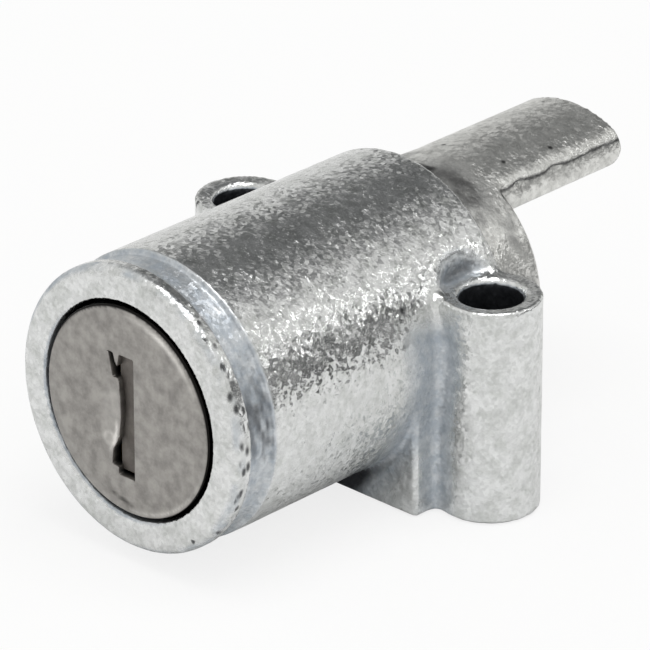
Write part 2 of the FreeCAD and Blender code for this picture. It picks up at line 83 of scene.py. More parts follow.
class Slot(Enum):
    """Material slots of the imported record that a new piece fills."""

    CASTING = "zinc_casting"
    CAP = "stainless_cap"


@dataclass(frozen=True)
class Layout:
    """Where the lock's own axes lie in the shared frame, in millimetres."""

    axis_height: float = 10.95
    holes_from_front: float = 22.7

    def to_frame(self, points: Array) -> Array:
        """Turn lock coordinates in millimetres into frame coordinates in metres."""
        return (points + np.array([0.0, -self.holes_from_front, self.axis_height])) * MM

    def to_lock(self, points: Array) -> Array:
        """Turn frame coordinates in metres into lock coordinates in millimetres."""
        return points / MM - np.array([0.0, -self.holes_from_front, self.axis_height])


LAYOUT = Layout()


def srgb(code: str) -> Colour:
    """Turn an sRGB hex colour into a linear one.

    Args:
        code: Six hex digits.

    Returns:
        Linear red, green and blue, with alpha 1.
    """
    parts = [int(code[i:i + 2], 16) / 255 for i in (0, 2, 4)]
    linear = [c / 12.92 if c <= 0.04045 else ((c + 0.055) / 1.055) ** 2.4 for c in parts]
    return linear[0], linear[1], linear[2], 1.0


def add_node(tree: bpy.types.NodeTree, kind: str, inputs: dict | None = None, **settings) -> bpy.types.Node:
    """Add one node, with its settings, values and links.

    Args:
        tree: Tree that takes the node.
        kind: Blender's node type.
        inputs: Socket name or index to a value, or to a (node, output) pair to link.
        **settings: Attributes of the node.

    Returns:
        The new node.
    """
    node = tree.nodes.new(kind)
    for name, value in settings.items():
        setattr(node, name, value)
    for key, value in (inputs or {}).items():
        if isinstance(value, tuple) and isinstance(value[0], bpy.types.Node):
            tree.links.new(value[0].outputs[value[1]], node.inputs[key])
        else:
            node.inputs[key].default_value = value
    return node


def set_ramp(node: bpy.types.Node, stops: Sequence[tuple[float, Colour]]) -> None:
    """Give a colour ramp its stops.

    Args:
        node: Colour ramp node.
        stops: Position and linear colour of each stop, in order.
    """
    ramp = node.color_ramp
    while len(ramp.elements) > len(stops):
        ramp.elements.remove(ramp.elements[-1])
    while len(ramp.elements) < len(stops):
        ramp.elements.new(1.0)
    for element, (place, colour) in zip(ramp.elements, stops):
        element.position = place
        element.color = colour


def new_material(name: str) -> tuple[bpy.types.Material, Maker]:
    """Start a material with an empty tree, and give what adds nodes to that tree."""
    material = bpy.data.materials.new(name)
    material.use_nodes = True
    material.node_tree.nodes.clear()
    return material, partial(add_node, material.node_tree)


@dataclass(frozen=True)
class CastZinc:
    """Zinc alloy, die cast and bright plated.

    Plating crystals of a quarter millimetre each tilt the gloss their own way and glitter, stains mottle
    the colour, recesses keep a duller patchy passivate, worn rims show small dark pores and the mould
    leaves a ragged dark line where it parted. Past the film's full value the attribute recess darkens the
    colour towards shaded, as painted shade. The skin carries these as the attributes recess, pores and
    parting, the last in millimetres from the line.
    """

    name: str
    plate: str = "eaebeb"
    clouded: str = "d0d2d0"
    passivate: str = "b0b8c1"
    # Colour of the painted shade, where the attribute recess passes FULL_FILM.
    shaded: str = "3b3d41"
    pore: str = "3a3b3d"
    crystal_mm: float = 0.26
    crystal_tilt: float = 0.25
    crystal_shade: float = 0.83
    stain_mm: float = 1.1
    grain_mm: float = 0.22
    lump_mm: float = 1.3
    lumps_per_cloud: float = 1 / 0.3
    pore_mm: float = 0.45
    pore_stretch: tuple[float, float, float] = (1.0, 1.0, 0.5)
    parting_mm: float = 0.10
    parting_stray_mm: float = 0.14
    roughness: float = 0.20
    grain_height_mm: float = 0.025
    lump_height_mm: float = 0.05
    film_roughness: float = 0.45
    film_metallic: float = 0.60

    def build(self) -> bpy.types.Material:
        """Make the material.

        Returns:
            The finished material.
        """
        material, node = new_material(self.name)
        place = node("ShaderNodeTexCoord")
        grain, lumps, clouds, stains = (
            node(
                "ShaderNodeTexNoise",
                {"Vector": (place, "Object"), "Scale": 1 / (size * MM), "Detail": detail, "Roughness": rough},
            )
            for size, detail, rough in (
                (self.grain_mm, 2.0, 0.55), (self.lump_mm, 2.0, 0.5),
                (self.lump_mm * self.lumps_per_cloud, 3.0, 0.6), (self.stain_mm, 6.0, 0.75),
            )
        )
        tint = node("ShaderNodeValToRGB", {"Fac": (stains, "Fac")})
        set_ramp(tint, [(0.36, srgb(self.clouded)), (0.56, srgb(self.plate))])
        crystals = node(
            "ShaderNodeTexVoronoi",
            {"Vector": (place, "Object"), "Scale": 1 / (self.crystal_mm * MM), "Randomness": 1.0},
        )
        draw = node("ShaderNodeSeparateColor", {"Color": (crystals, "Color")})
        shade = node("ShaderNodeMapRange", {"Value": (draw, "Green"), "To Min": self.crystal_shade})
        recess = node("ShaderNodeAttribute", attribute_name="recess")
        coated = node("ShaderNodeMapRange", {"Value": (recess, "Fac"), "From Max": FULL_FILM})
        patchy = node(
            "ShaderNodeMapRange",
            {"Value": (stains, "Fac"), "From Min": 0.38, "From Max": 0.60, "To Min": 1.0, "To Max": 0.55},
        )
        film = node("ShaderNodeMath", {0: (coated, 0), 1: (patchy, 0)}, operation="MULTIPLY")
        dulled = node(
            "ShaderNodeMix", {"Factor": (film, 0), 6: (tint, "Color"), 7: srgb(self.passivate)},
            data_type="RGBA",
        )
        speckled = node("ShaderNodeVectorMath", {0: (dulled, 2), 3: (shade, 0)}, operation="SCALE")
        # Painted shade: past FULL_FILM the attribute recess darkens the colour towards shaded.
        depth = node(
            "ShaderNodeMapRange", {"Value": (recess, "Fac"), "From Min": FULL_FILM, "From Max": 1.0},
        )
        shaded = node(
            "ShaderNodeMix", {"Factor": (depth, 0), 6: (speckled, 0), 7: srgb(self.shaded)}, data_type="RGBA",
        )
        drawn = node(
            "ShaderNodeVectorMath", {0: (place, "Object"), 1: self.pore_stretch}, operation="MULTIPLY",
        )
        cells = node(
            "ShaderNodeTexVoronoi",
            {"Vector": (drawn, 0), "Scale": 1 / (self.pore_mm * MM), "Randomness": 1.0},
        )
        pores = node("ShaderNodeAttribute", attribute_name="pores")
        reach = node(
            "ShaderNodeMapRange",
            {"Value": (cells, "Distance"), "From Min": 0.22, "From Max": 0.56, "To Min": 0.9, "To Max": 0.0},
        )
        chance = node("ShaderNodeSeparateColor", {"Color": (cells, "Color")})
        chosen = node("ShaderNodeMath", {0: (chance, "Red"), 1: (pores, "Fac")}, operation="LESS_THAN")
        pit = node("ShaderNodeMath", {0: (reach, 0), 1: (chosen, 0)}, operation="MULTIPLY")
        line = node("ShaderNodeAttribute", attribute_name="parting")
        ragged = node(
            "ShaderNodeMapRange",
            {"Value": (lumps, "Fac"), "From Min": 0.3, "From Max": 0.7,
             "To Min": -self.parting_stray_mm, "To Max": self.parting_stray_mm},
        )
        strayed = node("ShaderNodeMath", {0: (line, "Fac"), 1: (ragged, 0)}, operation="ADD")
        astray = node("ShaderNodeMath", {0: (strayed, 0)}, operation="ABSOLUTE")
        width = node(
            "ShaderNodeMapRange",
            {"Value": (stains, "Fac"), "From Min": 0.40, "From Max": 0.60, "To Min": 0.35, "To Max": 1.7},
        )
        off = node("ShaderNodeMath", {0: (astray, 0), 1: (width, 0)}, operation="DIVIDE")
        seam = node(
            "ShaderNodeMapRange",
            {"Value": (off, 0), "From Min": 0.3 * self.parting_mm, "From Max": 1.8 * self.parting_mm,
             "To Min": 0.85, "To Max": 0.0},
        )
        dark = node("ShaderNodeMath", {0: (pit, 0), 1: (seam, 0)}, operation="MAXIMUM")
        colour = node(
            "ShaderNodeMix", {"Factor": (dark, 0), 6: (shaded, 2), 7: srgb(self.pore)}, data_type="RGBA",
        )
        rough = node(
            "ShaderNodeMapRange",
            {"Value": (clouds, "Fac"), "From Min": 0.3, "From Max": 0.7,
             "To Min": self.roughness - 0.04, "To Max": self.roughness + 0.06},
        )
        powdery = node("ShaderNodeMix", {"Factor": (film, 0), 2: (rough, 0), 3: self.film_roughness})
        bare = node("ShaderNodeMapRange", {"Value": (film, 0), "To Min": 1.0, "To Max": self.film_metallic})
        coarse = node(
            "ShaderNodeBump",
            {"Strength": 1.0, "Distance": self.lump_height_mm * MM, "Height": (lumps, "Fac")},
        )
        fine = node(
            "ShaderNodeBump",
            {"Strength": 1.0, "Distance": self.grain_height_mm * MM, "Height": (grain, "Fac"),
             "Normal": (coarse, "Normal")},
        )
        centred = node(
            "ShaderNodeVectorMath", {0: (crystals, "Color"), 1: (0.5, 0.5, 0.5)}, operation="SUBTRACT",
        )
        leaning = node("ShaderNodeVectorMath", {0: (centred, 0), 3: self.crystal_tilt}, operation="SCALE")
        tilted = node("ShaderNodeVectorMath", {0: (fine, "Normal"), 1: (leaning, 0)}, operation="ADD")
        facets = node("ShaderNodeVectorMath", {0: (tilted, 0)}, operation="NORMALIZE")
        shader = node(
            "ShaderNodeBsdfPrincipled",
            {"Base Color": (colour, 2), "Roughness": (powdery, 0), "Metallic": (bare, 0),
             "Normal": (facets, 0)},
        )
        node("ShaderNodeOutputMaterial", {"Surface": (shader, "BSDF")})
        return material


@dataclass(frozen=True)
class SatinSteel:
    """Stainless sheet with a satin, faintly mottled face.

    Where the attribute grime says so it is darkened, by painted shade round the rim and
    down the skirt and by scratches; where the attribute wear says so it is brightened, by keys
    rubbing it and by painted highlights.
    """

    name: str
    light: str = "aba8a4"
    dark: str = "8b8885"
    roughness: float = 0.36
    mottle_mm: float = 0.9
    scratch_mm: float = 0.12
    height_mm: float = 0.006
    # The first colour paints shade round the rim and down the skirt and colours scratches; the second colours
    # spots rubbed by keys and paints highlights.
    shade_and_scratch: str = "1d1c1b"
    rubbed: str = "e6e3df"

    def build(self) -> bpy.types.Material:
        """Make the material.

        Returns:
            The finished material.
        """
        material, node = new_material(self.name)
        place = node("ShaderNodeTexCoord")
        mottle, scratch = (
            node(
                "ShaderNodeTexNoise",
                {"Vector": (place, "Object"), "Scale": 1 / (size * MM), "Detail": detail, "Roughness": 0.6},
            )
            for size, detail in ((self.mottle_mm, 4.0), (self.scratch_mm, 2.0))
        )
        tint = node("ShaderNodeValToRGB", {"Fac": (mottle, "Fac")})
        set_ramp(tint, [(0.32, srgb(self.dark)), (0.66, srgb(self.light))])
        # Painted highlights and spots rubbed by keys brighten the face; painted shade and scratches darken
        # it.
        wear = node("ShaderNodeAttribute", attribute_name="wear")
        bright = node(
            "ShaderNodeMix", {"Factor": (wear, "Fac"), 6: (tint, "Color"), 7: srgb(self.rubbed)},
            data_type="RGBA",
        )
        grime = node("ShaderNodeAttribute", attribute_name="grime")
        darkened = node(
            "ShaderNodeMix", {"Factor": (grime, "Fac"), 6: (bright, 2), 7: srgb(self.shade_and_scratch)}, data_type="RGBA",
        )
        rough = node(
            "ShaderNodeMapRange",
            {"Value": (scratch, "Fac"), "To Min": self.roughness - 0.08, "To Max": self.roughness + 0.10},
        )
        bump = node(
            "ShaderNodeBump", {"Strength": 1.0, "Distance": self.height_mm * MM, "Height": (scratch, "Fac")},
        )
        shader = node(
            "ShaderNodeBsdfPrincipled",
            {"Base Color": (darkened, 2), "Roughness": (rough, 0), "Metallic": 1.0, "Normal": (bump, "Normal")},
        )
        node("ShaderNodeOutputMaterial", {"Surface": (shader, "BSDF")})
        return material


@dataclass(frozen=True)
class PlainMetal:
    """Machined, drawn or ground metal: even colour, fine tool marks in the gloss."""

    name: str
    light: str
    dark: str
    roughness: float
    mottle_mm: float = 1.5
    mark_mm: float = 0.15
    height_mm: float = 0.004

    def build(self) -> bpy.types.Material:
        """Make the material: the same network as satin steel, without its marks."""
        return SatinSteel(
            self.name, self.light, self.dark, self.roughness, self.mottle_mm, self.mark_mm, self.height_mm,
        ).build()


@dataclass(frozen=True)
class Rubber:
    """Moulded nitrile rubber: matt black with a faint grey bloom."""

    name: str
    base: str = "161616"
    bloom: str = "262626"
    roughness: float = 0.75
    bloom_mm: float = 0.5

    def build(self) -> bpy.types.Material:
        """Make the material.

        Returns:
            The finished material.
        """
        material, node = new_material(self.name)
        place = node("ShaderNodeTexCoord")
        bloom = node(
            "ShaderNodeTexNoise",
            {"Vector": (place, "Object"), "Scale": 1 / (self.bloom_mm * MM), "Detail": 3.0},
        )
        tint = node("ShaderNodeValToRGB", {"Fac": (bloom, "Fac")})
        set_ramp(tint, [(0.35, srgb(self.base)), (0.70, srgb(self.bloom))])
        shader = node(
            "ShaderNodeBsdfPrincipled", {"Base Color": (tint, "Color"), "Roughness": self.roughness},
        )
        node("ShaderNodeOutputMaterial", {"Surface": (shader, "BSDF")})
        return material


def dress(piece: bpy.types.Object, material: bpy.types.Material) -> None:
    """Put one material on every face of a piece."""
    if not piece.material_slots:
        piece.data.materials.append(material)
    for entry in piece.material_slots:
        entry.material = material


def place_in_scene(name: str, data: bpy.types.ID) -> bpy.types.Object:
    """Make an object of a mesh, lamp or camera and link it to the scene."""
    holder = bpy.data.objects.new(name, data)
    bpy.context.scene.collection.objects.link(holder)
    return holder


def smooth_union(first: Array, second: Array, blend: float) -> Array:
    """Join two distance fields with a hollow fillet.

    The result is the smaller distance, less a parabola where both are close.
    """
    share = np.clip(0.5 + 0.5 * (second - first) / blend, 0.0, 1.0)
    return second + (first - second) * share - blend * share * (1.0 - share)


def smooth_cut(body: Array, tool: Array, blend: float) -> Array:
    """Cut a tool from a body and leave a rounded edge, as the union of their complements."""
    return -smooth_union(-body, tool, blend)


def rounded(walls: Sequence[Array], radius: float) -> Array:
    """Space inside several walls with rounded edges: the length of the parts beyond the edge centre.

    Args:
        walls: Signed distance past each wall.
        radius: Radius of the edges between them.

    Returns:
        Signed distance of the rounded space.
    """
    past = np.stack(walls) + radius
    outside = np.sqrt((np.maximum(past, 0.0) ** 2).sum(axis=0))
    inside = np.minimum(past.max(axis=0), 0.0)
    return outside + inside - radius


def rise(values: Array, start: float, end: float) -> Array:
    """Even climb from 0 at start to 1 at end, level beyond both; end may lie below start."""
    return np.clip((values - start) / (end - start), 0.0, 1.0)


@dataclass(frozen=True)
class Bell:
    """Bell-shaped mark: height times e to the minus (distance from its middle over its reach) to a power."""

    middle: float
    reach: float
    height: float = 1.0
    power: int = 2

    def at(self, values: Array) -> Array:
        """Value of the bell at each place."""
        return self.height * np.exp(-(((values - self.middle) / self.reach) ** self.power))


def lattice_noise(points: Array, size: float, seed: int) -> Array:
    """Smooth noise between -1 and 1: random values on a cubic lattice, blended with a cubic step.

    Args:
        points: Points in millimetres, one row each.
        size: Lattice spacing in millimetres.
        seed: Seed of the random values.

    Returns:
        One value per point.
    """
    count = 64
    table = np.random.default_rng(seed).uniform(-1.0, 1.0, (count, count, count))
    scaled = points / size + 1000.0
    cell = np.floor(scaled).astype(int)
    part = scaled - cell
    part = part * part * (3.0 - 2.0 * part)
    total = np.zeros(len(points))
    for corner in range(8):
        step = np.array([corner & 1, (corner >> 1) & 1, (corner >> 2) & 1])
        at = (cell + step) % count
        weight = np.prod(np.where(step, part, 1.0 - part), axis=1)
        total += weight * table[at[:, 0], at[:, 1], at[:, 2]]
    return total


def field_slope(distance: Field, points: Array, reach: float = 0.01) -> Array:
    """Slope of a distance field by central differences, one row per point."""
    slopes = np.empty_like(points)
    for axis in range(3):
        step = np.zeros(3)
        step[axis] = reach
        slopes[:, axis] = (distance(points + step) - distance(points - step)) / (2.0 * reach)
    return slopes


def relax(points: Array, edges: Array, share: float) -> Array:
    """Move each point towards the mean of its neighbours by the given share."""
    total = np.zeros_like(points)
    count = np.zeros(len(points))
    for near, far in ((0, 1), (1, 0)):
        np.add.at(total, edges[:, near], points[edges[:, far]])
        np.add.at(count, edges[:, near], 1.0)
    mean = total / np.maximum(count, 1.0)[:, None]
    return points + (mean - points) * share


def merged_copy(node: str, name: str) -> bpy.types.Object:
    """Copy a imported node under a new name, with its loose triangles joined at their corners."""
    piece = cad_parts[node].copy()
    piece.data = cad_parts[node].data.copy()
    piece.name = name
    piece.data.name = name
    piece.parent = None
    piece.matrix_world = Matrix.Identity(4)
    bpy.context.scene.collection.objects.link(piece)
    mesh = bmesh.new()
    mesh.from_mesh(piece.data)
    bmesh.ops.remove_doubles(mesh, verts=mesh.verts, dist=JOIN_MM * MM)
    mesh.to_mesh(piece.data)
    mesh.free()
    return piece


def read_points(mesh: bpy.types.Mesh) -> Array:
    """Points of a mesh, one row each."""
    flat = np.empty(len(mesh.vertices) * 3)
    mesh.vertices.foreach_get("co", flat)
    return flat.reshape(-1, 3)


def set_attribute(mesh: bpy.types.Mesh, name: str, values: Array) -> None:
    """Store one number per point on a mesh."""
    layer = mesh.attributes.new(name, "FLOAT", "POINT")
    layer.data.foreach_set("value", values.astype(np.float32))


def shade_smooth(mesh: bpy.types.Mesh) -> None:
    """Shade every face of a mesh smooth."""
    mesh.polygons.foreach_set("use_smooth", np.ones(len(mesh.polygons), dtype=bool))


def hollowness(distance: Field, points: Array, normal: Array) -> Array:
    """How deep each point lies in a hollow: 0 on open faces, towards 1 where metal closes in around it."""
    total = np.zeros(len(points))
    for reach in HOLLOW_REACHES_MM:
        total += np.clip(1.0 - distance(points + normal * reach) / reach, 0.0, 1.0)
    return total / len(HOLLOW_REACHES_MM)


def cast_skin(
    node: str, name: str, distance: Field, marks: Callable[[Array, Array], dict[str, Array]], voxel: float,
    zoom: Zoom,
) -> bpy.types.Object:
    """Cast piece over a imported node: an even quad skin drawn onto a distance field, every edge rounded.

    Each point steps against the field by its value over the squared slope, a Newton step, and then a weak
    lumpy noise lifts the skin as casting and plating do.

    Args:
        node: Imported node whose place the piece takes.
        name: Name of the new piece.
        distance: Distance field of the piece in lock millimetres.
        marks: Gives the skin's attributes from its points and normals.
        voxel: Spacing of the skin's points in millimetres.
        zoom: Places along the axis and where they are drawn out to while the points are spread, so that
            narrow bands get closer points.

    Returns:
        The new piece.
    """
    source = merged_copy(node, name)
    drawn = LAYOUT.to_lock(read_points(source.data))
    drawn[:, 1] = np.interp(drawn[:, 1], zoom[0], zoom[1])
    source.data.vertices.foreach_set("co", LAYOUT.to_frame(drawn).ravel())
    remesh = source.modifiers.new("skin", "REMESH")
    remesh.mode = "VOXEL"
    remesh.voxel_size = voxel * MM
    graph = bpy.context.evaluated_depsgraph_get()
    skin = bpy.data.meshes.new_from_object(source.evaluated_get(graph))
    source.modifiers.clear()
    source.data = skin
    points = LAYOUT.to_lock(read_points(skin))
    points[:, 1] = np.interp(points[:, 1], zoom[1], zoom[0])
    pairs = np.empty(len(skin.edges) * 2, dtype=np.int32)
    skin.edges.foreach_get("vertices", pairs)
    pairs = pairs.reshape(-1, 2)
    for share in EASING:
        points = relax(points, pairs, share)
        slope = field_slope(distance, points)
        square = np.maximum((slope ** 2).sum(axis=1), 0.05)
        step = distance(points)[:, None] * slope / square[:, None]
        points = points - np.clip(step, -2 * voxel, 2 * voxel)
    slope = field_slope(distance, points)
    normal = slope / np.maximum(np.linalg.norm(slope, axis=1), 1e-6)[:, None]
    lumps = sum(height * lattice_noise(points, size, seed) for height, size, seed in LUMPS)
    points = points + normal * lumps[:, None]
    for label, values in marks(points, normal).items():
        set_attribute(skin, label, values)
    skin.vertices.foreach_set("co", LAYOUT.to_frame(points).ravel())
    shade_smooth(skin)
    skin.update()
    LOG.info("%s: %d points and %d faces on the cast skin", name, len(points), len(skin.polygons))
    return source


@dataclass(frozen=True)
class HousingMarks:
    """Where the housing keeps passivate and pores, where shade is painted on it, and where its brim is
    darker.

    Sizes and places are in lock millimetres and turns in degrees from the top towards the right boss. A
    pair says where a mark begins to show and where it is full.
    """

    neck_front: tuple[float, float] = (1.35, 1.50)
    neck_rear: tuple[float, float] = (3.75, 3.50)
    neck_core: float = 9.0
    neck_cover: float = 0.85
    neck_patches: float = 0.25
    neck_patch_size: float = 0.6
    neck_patch_stretch: tuple[float, float, float] = (1.0, 3.0, 1.0)
    # Painted shade: a darker band on the neck, low on the right.
    neck_shade: Bell = Bell(81.0, 17.0, 0.32)
    valley_cover: float = 1.3
    valley_reach: float = 1.65
    valley_depth: float = 0.6
    valley_top: tuple[float, float] = (3.6, 2.1)
    pocket_below: float = 0.25
    pocket_around: float = 0.3
    pocket_wall: tuple[float, float] = (0.2, -0.5)
    wall_height: float = 0.8
    # Painted shade on the pocket's wall and in the fillet at its foot.
    wall_shade: float = 0.16
    crease_shade: Bell = Bell(0.0, 0.5, 0.24)
    foot_front_reach: float = 0.4
    foot_faces_front: float = -0.6
    under_side: tuple[float, float] = (8.2, 4.2)
    under_drop: tuple[float, float] = (-4.0, -5.5)
    # Painted shade on the foot's front under the barrel, and more towards its middle.
    under_shade: float = 0.38
    foot_middle: tuple[float, float] = (5.6, 3.1)
    foot_middle_shade: float = 0.4
    hole_clearance: float = 0.2
    # Painted shade: the screw hole and the cap bore are darkened fully past these places.
    hole_start: float = 0.35
    bore_clearance: float = 0.1
    bore_start: float = 0.9
    mouth_band: tuple[float, float] = (-0.3, 0.16)
    mouth_depth: float = 1.2
    mouth_towards: tuple[float, float] = (-0.8, -0.6)
    mouth_spread: float = 1.6
    # The brim is darker all round, most on the upper left, in patches.
    brim_out: tuple[float, float] = (9.5, 9.75)
    brim_rear: tuple[float, float] = (0.85, 0.65)
    brim_dark: float = 0.18
    brim_dark_left: Bell = Bell(-47.0, 26.0, 0.50)
    brim_dark_patches: float = 0.40
    brim_patch_size: float = 0.8
    rim_core: float = 9.4
    rim_band: Bell = Bell(0.75, 0.45, 0.85)
    rim_pores: float = 0.10
    rim_pores_right: Bell = Bell(86.0, 26.0, 1.1)
    rim_pore_patches: float = 0.5
    rim_patch_size: float = 1.6
    stray_pores: float = 0.001


@dataclass
class Housing:
    """Die-cast housing: flange, flared neck, barrel, foot and two screw bosses. Sizes in millimetres."""

    radius: float = 10.0
    length: float = 26.15
    neck_places: tuple[float, ...] = (0.0, 1.36, 1.46, 1.95, 3.42, 3.54, 26.15)
    neck_radii: tuple[float, ...] = (10.0, 10.0, 9.45, 9.45, 9.70, 10.0, 10.0)
    neck_softness: float = 0.035
    edge: float = 0.30
    front_edge: float = 0.70
    front_setback: float = 0.05
    foot_half_width: float = 9.4
    foot_front: float = 17.5
    foot_top: float = 2.6
    foot_edge: float = 0.2
    foot_fillet: float = 0.45
    base: float = -10.95
    base_edge: float = 0.2
    boss_x: float = 11.3
    boss_y: float = 22.7
    boss_radius: float = 3.45
    boss_top: float = 4.5
    boss_edge: float = 0.22
    boss_fillet: float = 1.2
    pocket_radius: float = 3.36
    pocket_floor: float = 0.50
    pocket_edge: float = 0.25
    screw_hole_radius: float = 2.15
    screw_hole_edge: float = 0.62
    cap_bore: float = 7.70
    cap_bore_depth: float = 2.9
    cap_bore_edge: float = 0.04
    mouth_edge: float = 0.10
    worn_edge: Bell = Bell(0.0, 42.0, 0.28)
    worn_towards: float = -135.0
    plug_bore: float = 6.46
    plug_bore_edge: float = 0.08
    cam_bore: float = 8.36
    cam_seat: float = 20.2
    groove_half_width: float = 2.85
    groove_depth: float = 7.55
    groove_front: float = 5.54
    groove_edge: float = 0.05
    pin_place: float = 23.5
    pin_radius: float = 1.0
    pin_hole_edge: float = 0.08
    overrun: float = 1.0
    voxel: float = 0.252
    zoom: Zoom = ((-1.0, 0.0, 4.2, 60.0), (-1.0, 0.0, 10.5, 66.3))
    film: HousingMarks = HousingMarks()

    def profile(self, along: Array) -> Array:
        """Outer radius along the axis, its steps softened by averaging five nearby places."""
        shifts = np.array([-2.0, -1.0, 0.0, 1.0, 2.0]) * self.neck_softness
        weights = np.array([1.0, 3.0, 4.0, 3.0, 1.0]) / 12.0
        total = np.zeros_like(along)
        for shift, weight in zip(shifts, weights):
            total += weight * np.interp(along + shift, self.neck_places, self.neck_radii)
        return total

    def bodies(self, points: Array) -> tuple[Array, Array, Array]:
        """Distance fields of barrel, foot and bosses, each by itself."""
        x, y, z = points.T
        side = np.abs(x)
        from_boss = np.hypot(side - self.boss_x, y - self.boss_y)
        barrel = rounded([np.hypot(x, z) - self.profile(y), self.front_setback - y], self.front_edge)
        barrel = rounded([barrel, y - self.length], self.edge)
        foot_rear = self.length + self.overrun
        middle = (self.foot_front + foot_rear) / 2
        half = (foot_rear - self.foot_front) / 2
        under = self.base - self.overrun - z
        aside = side - self.foot_half_width
        foot = rounded([aside, np.abs(y - middle) - half, under, z - self.foot_top], self.foot_edge)
        boss = rounded([from_boss - self.boss_radius, under, z - self.boss_top], self.boss_edge)
        return barrel, foot, boss

    def distance(self, points: Array) -> Array:
        """Distance field: barrel, foot and bosses joined by fillets, less pockets, holes and bores.

        Args:
            points: Points in lock millimetres.

        Returns:
            Signed distance, negative in metal.
        """
        x, y, z = points.T
        from_axis = np.hypot(x, z)
        from_boss = np.hypot(np.abs(x) - self.boss_x, y - self.boss_y)
        barrel, foot, boss = self.bodies(points)
        body = smooth_union(barrel, foot, self.foot_fillet)
        body = smooth_union(body, boss, self.boss_fillet)
        body = rounded([body, y - self.length, self.base - z], self.base_edge)
        pocket = rounded([from_boss - self.pocket_radius, self.boss_top - z], self.pocket_floor)
        body = smooth_cut(body, pocket, self.pocket_edge)
        body = smooth_cut(body, from_boss - self.screw_hole_radius, self.screw_hole_edge)
        aside = (np.degrees(np.arctan2(x, z)) - self.worn_towards + 180.0) % 360.0 - 180.0
        bevel = self.cap_bore_edge + self.worn_edge.at(aside)
        mouth = (from_axis + y - self.front_setback - self.cap_bore - bevel) / math.sqrt(2.0)
        front = np.maximum(from_axis - self.cap_bore, y - self.cap_bore_depth)
        front = np.minimum(front, np.maximum(mouth, y - bevel - self.mouth_edge))
        rear = np.maximum(from_axis - self.cam_bore, self.cam_seat - y)
        body = smooth_cut(body, front, self.mouth_edge)
        body = smooth_cut(body, np.minimum(from_axis - self.plug_bore, rear), self.plug_bore_edge)
        body = smooth_cut(body, self.wafer_grooves(x, y, z), self.groove_edge)
        pin_top = z + self.cam_bore - self.overrun
        pin = np.maximum(np.hypot(x, y - self.pin_place) - self.pin_radius, pin_top)
        return smooth_cut(body, pin, self.pin_hole_edge)

    def marks(self, points: Array, normal: Array) -> dict[str, Array]:
        """Passivate in the neck and the hollows, painted shade in some of them, a darker flange brim, and
        pores along its rim.

        Args:
            points: Points in lock millimetres.
            normal: Outward normals.

        Returns:
            Attribute values by name.
        """
        x, y, z = points.T
        side = np.abs(x)
        from_axis = np.hypot(x, z)
        from_boss = np.hypot(side - self.boss_x, y - self.boss_y)
        turn = np.degrees(np.arctan2(x, z))
        at = self.film
        neck = rise(y, *at.neck_front) * rise(y, *at.neck_rear) * (from_axis > at.neck_core)
        streaks = lattice_noise(points * np.array(at.neck_patch_stretch), at.neck_patch_size, 33)
        neck *= at.neck_cover + at.neck_patches * streaks
        other = np.sort(np.stack(self.bodies(points)), axis=0)[1]
        valley = np.clip(at.valley_cover - other / at.valley_reach, 0.0, 1.0)
        valley *= (from_axis > self.radius - at.valley_depth) * rise(z, *at.valley_top)
        pocket = (z > self.boss_top - at.pocket_below) & (from_boss < self.pocket_radius + at.pocket_around)
        pocket = pocket * rise(from_axis - self.radius, *at.pocket_wall)
        wall = pocket * rise(z - self.boss_top, 0.0, at.wall_height)
        crease_shade = pocket * at.crease_shade.at(np.hypot(from_boss - self.pocket_radius, z - self.boss_top))
        front = (normal[:, 1] < at.foot_faces_front) & (np.abs(y - self.foot_front) < at.foot_front_reach)
        under = front * rise(side, *at.under_side) * rise(z, *at.under_drop)
        film = FULL_FILM * np.clip(np.maximum.reduce([neck, valley, pocket]), 0.0, 1.0)
        # Painted shade: a band on the neck, the fillet round the pocket, the foot's front and the pocket's
        # wall go past the film into darkening.
        film += neck * at.neck_shade.at(turn) + crease_shade + at.under_shade * under + at.wall_shade * wall
        film += at.foot_middle_shade * front * rise(side, *at.foot_middle)
        rim_start, rim_end = at.mouth_band
        mouth = (from_axis > self.cap_bore + rim_start) & (from_axis < self.cap_bore + rim_end)
        mouth &= y < at.mouth_depth
        lower_left = (at.mouth_towards[0] * x + at.mouth_towards[1] * z) / self.cap_bore
        film += FULL_FILM * mouth * np.clip(lower_left * at.mouth_spread, 0.0, 1.0)
        # The brim is darkened, most on the upper left, in patches.
        brim = rise(from_axis, *at.brim_out) * rise(y, *at.brim_rear)
        darkened = at.brim_dark + at.brim_dark_left.at(turn)
        darkened += at.brim_dark_patches * lattice_noise(points, at.brim_patch_size, 35)
        film += brim * np.clip(darkened, 0.0, 1.0)
        # Painted shade: deep in the screw hole and the cap bore the colour is darkened fully.
        inside = from_boss < self.screw_hole_radius + at.hole_clearance
        inside &= z < self.boss_top - at.hole_start
        inside |= (from_axis < self.cap_bore + at.bore_clearance) & (y > at.bore_start)
        recess = np.where(inside, 1.0, np.clip(film, 0.0, 1.0))
        patches = at.rim_pores + at.rim_pores_right.at(turn)
        patches += at.rim_pore_patches * lattice_noise(points, at.rim_patch_size, 21)
        rim = at.rim_band.at(y) * (from_axis > at.rim_core)
        pores = at.stray_pores + rim * np.clip(patches, 0.0, 1.0)
        return {"recess": recess, "pores": pores, "parting": np.full(len(points), NO_PARTING_MM)}

    def wafer_grooves(self, x: Array, y: Array, z: Array) -> Array:
        """Lower and left grooves that the wafers drop into."""
        lower = np.maximum(np.abs(x) - self.groove_half_width, np.maximum(-self.groove_depth - z, z))
        left = np.maximum(np.abs(z) - self.groove_half_width, np.maximum(-self.groove_depth - x, x))
        along = np.maximum(self.groove_front - y, y - self.cam_seat - self.groove_edge)
        return np.maximum(np.minimum(lower, left), along)

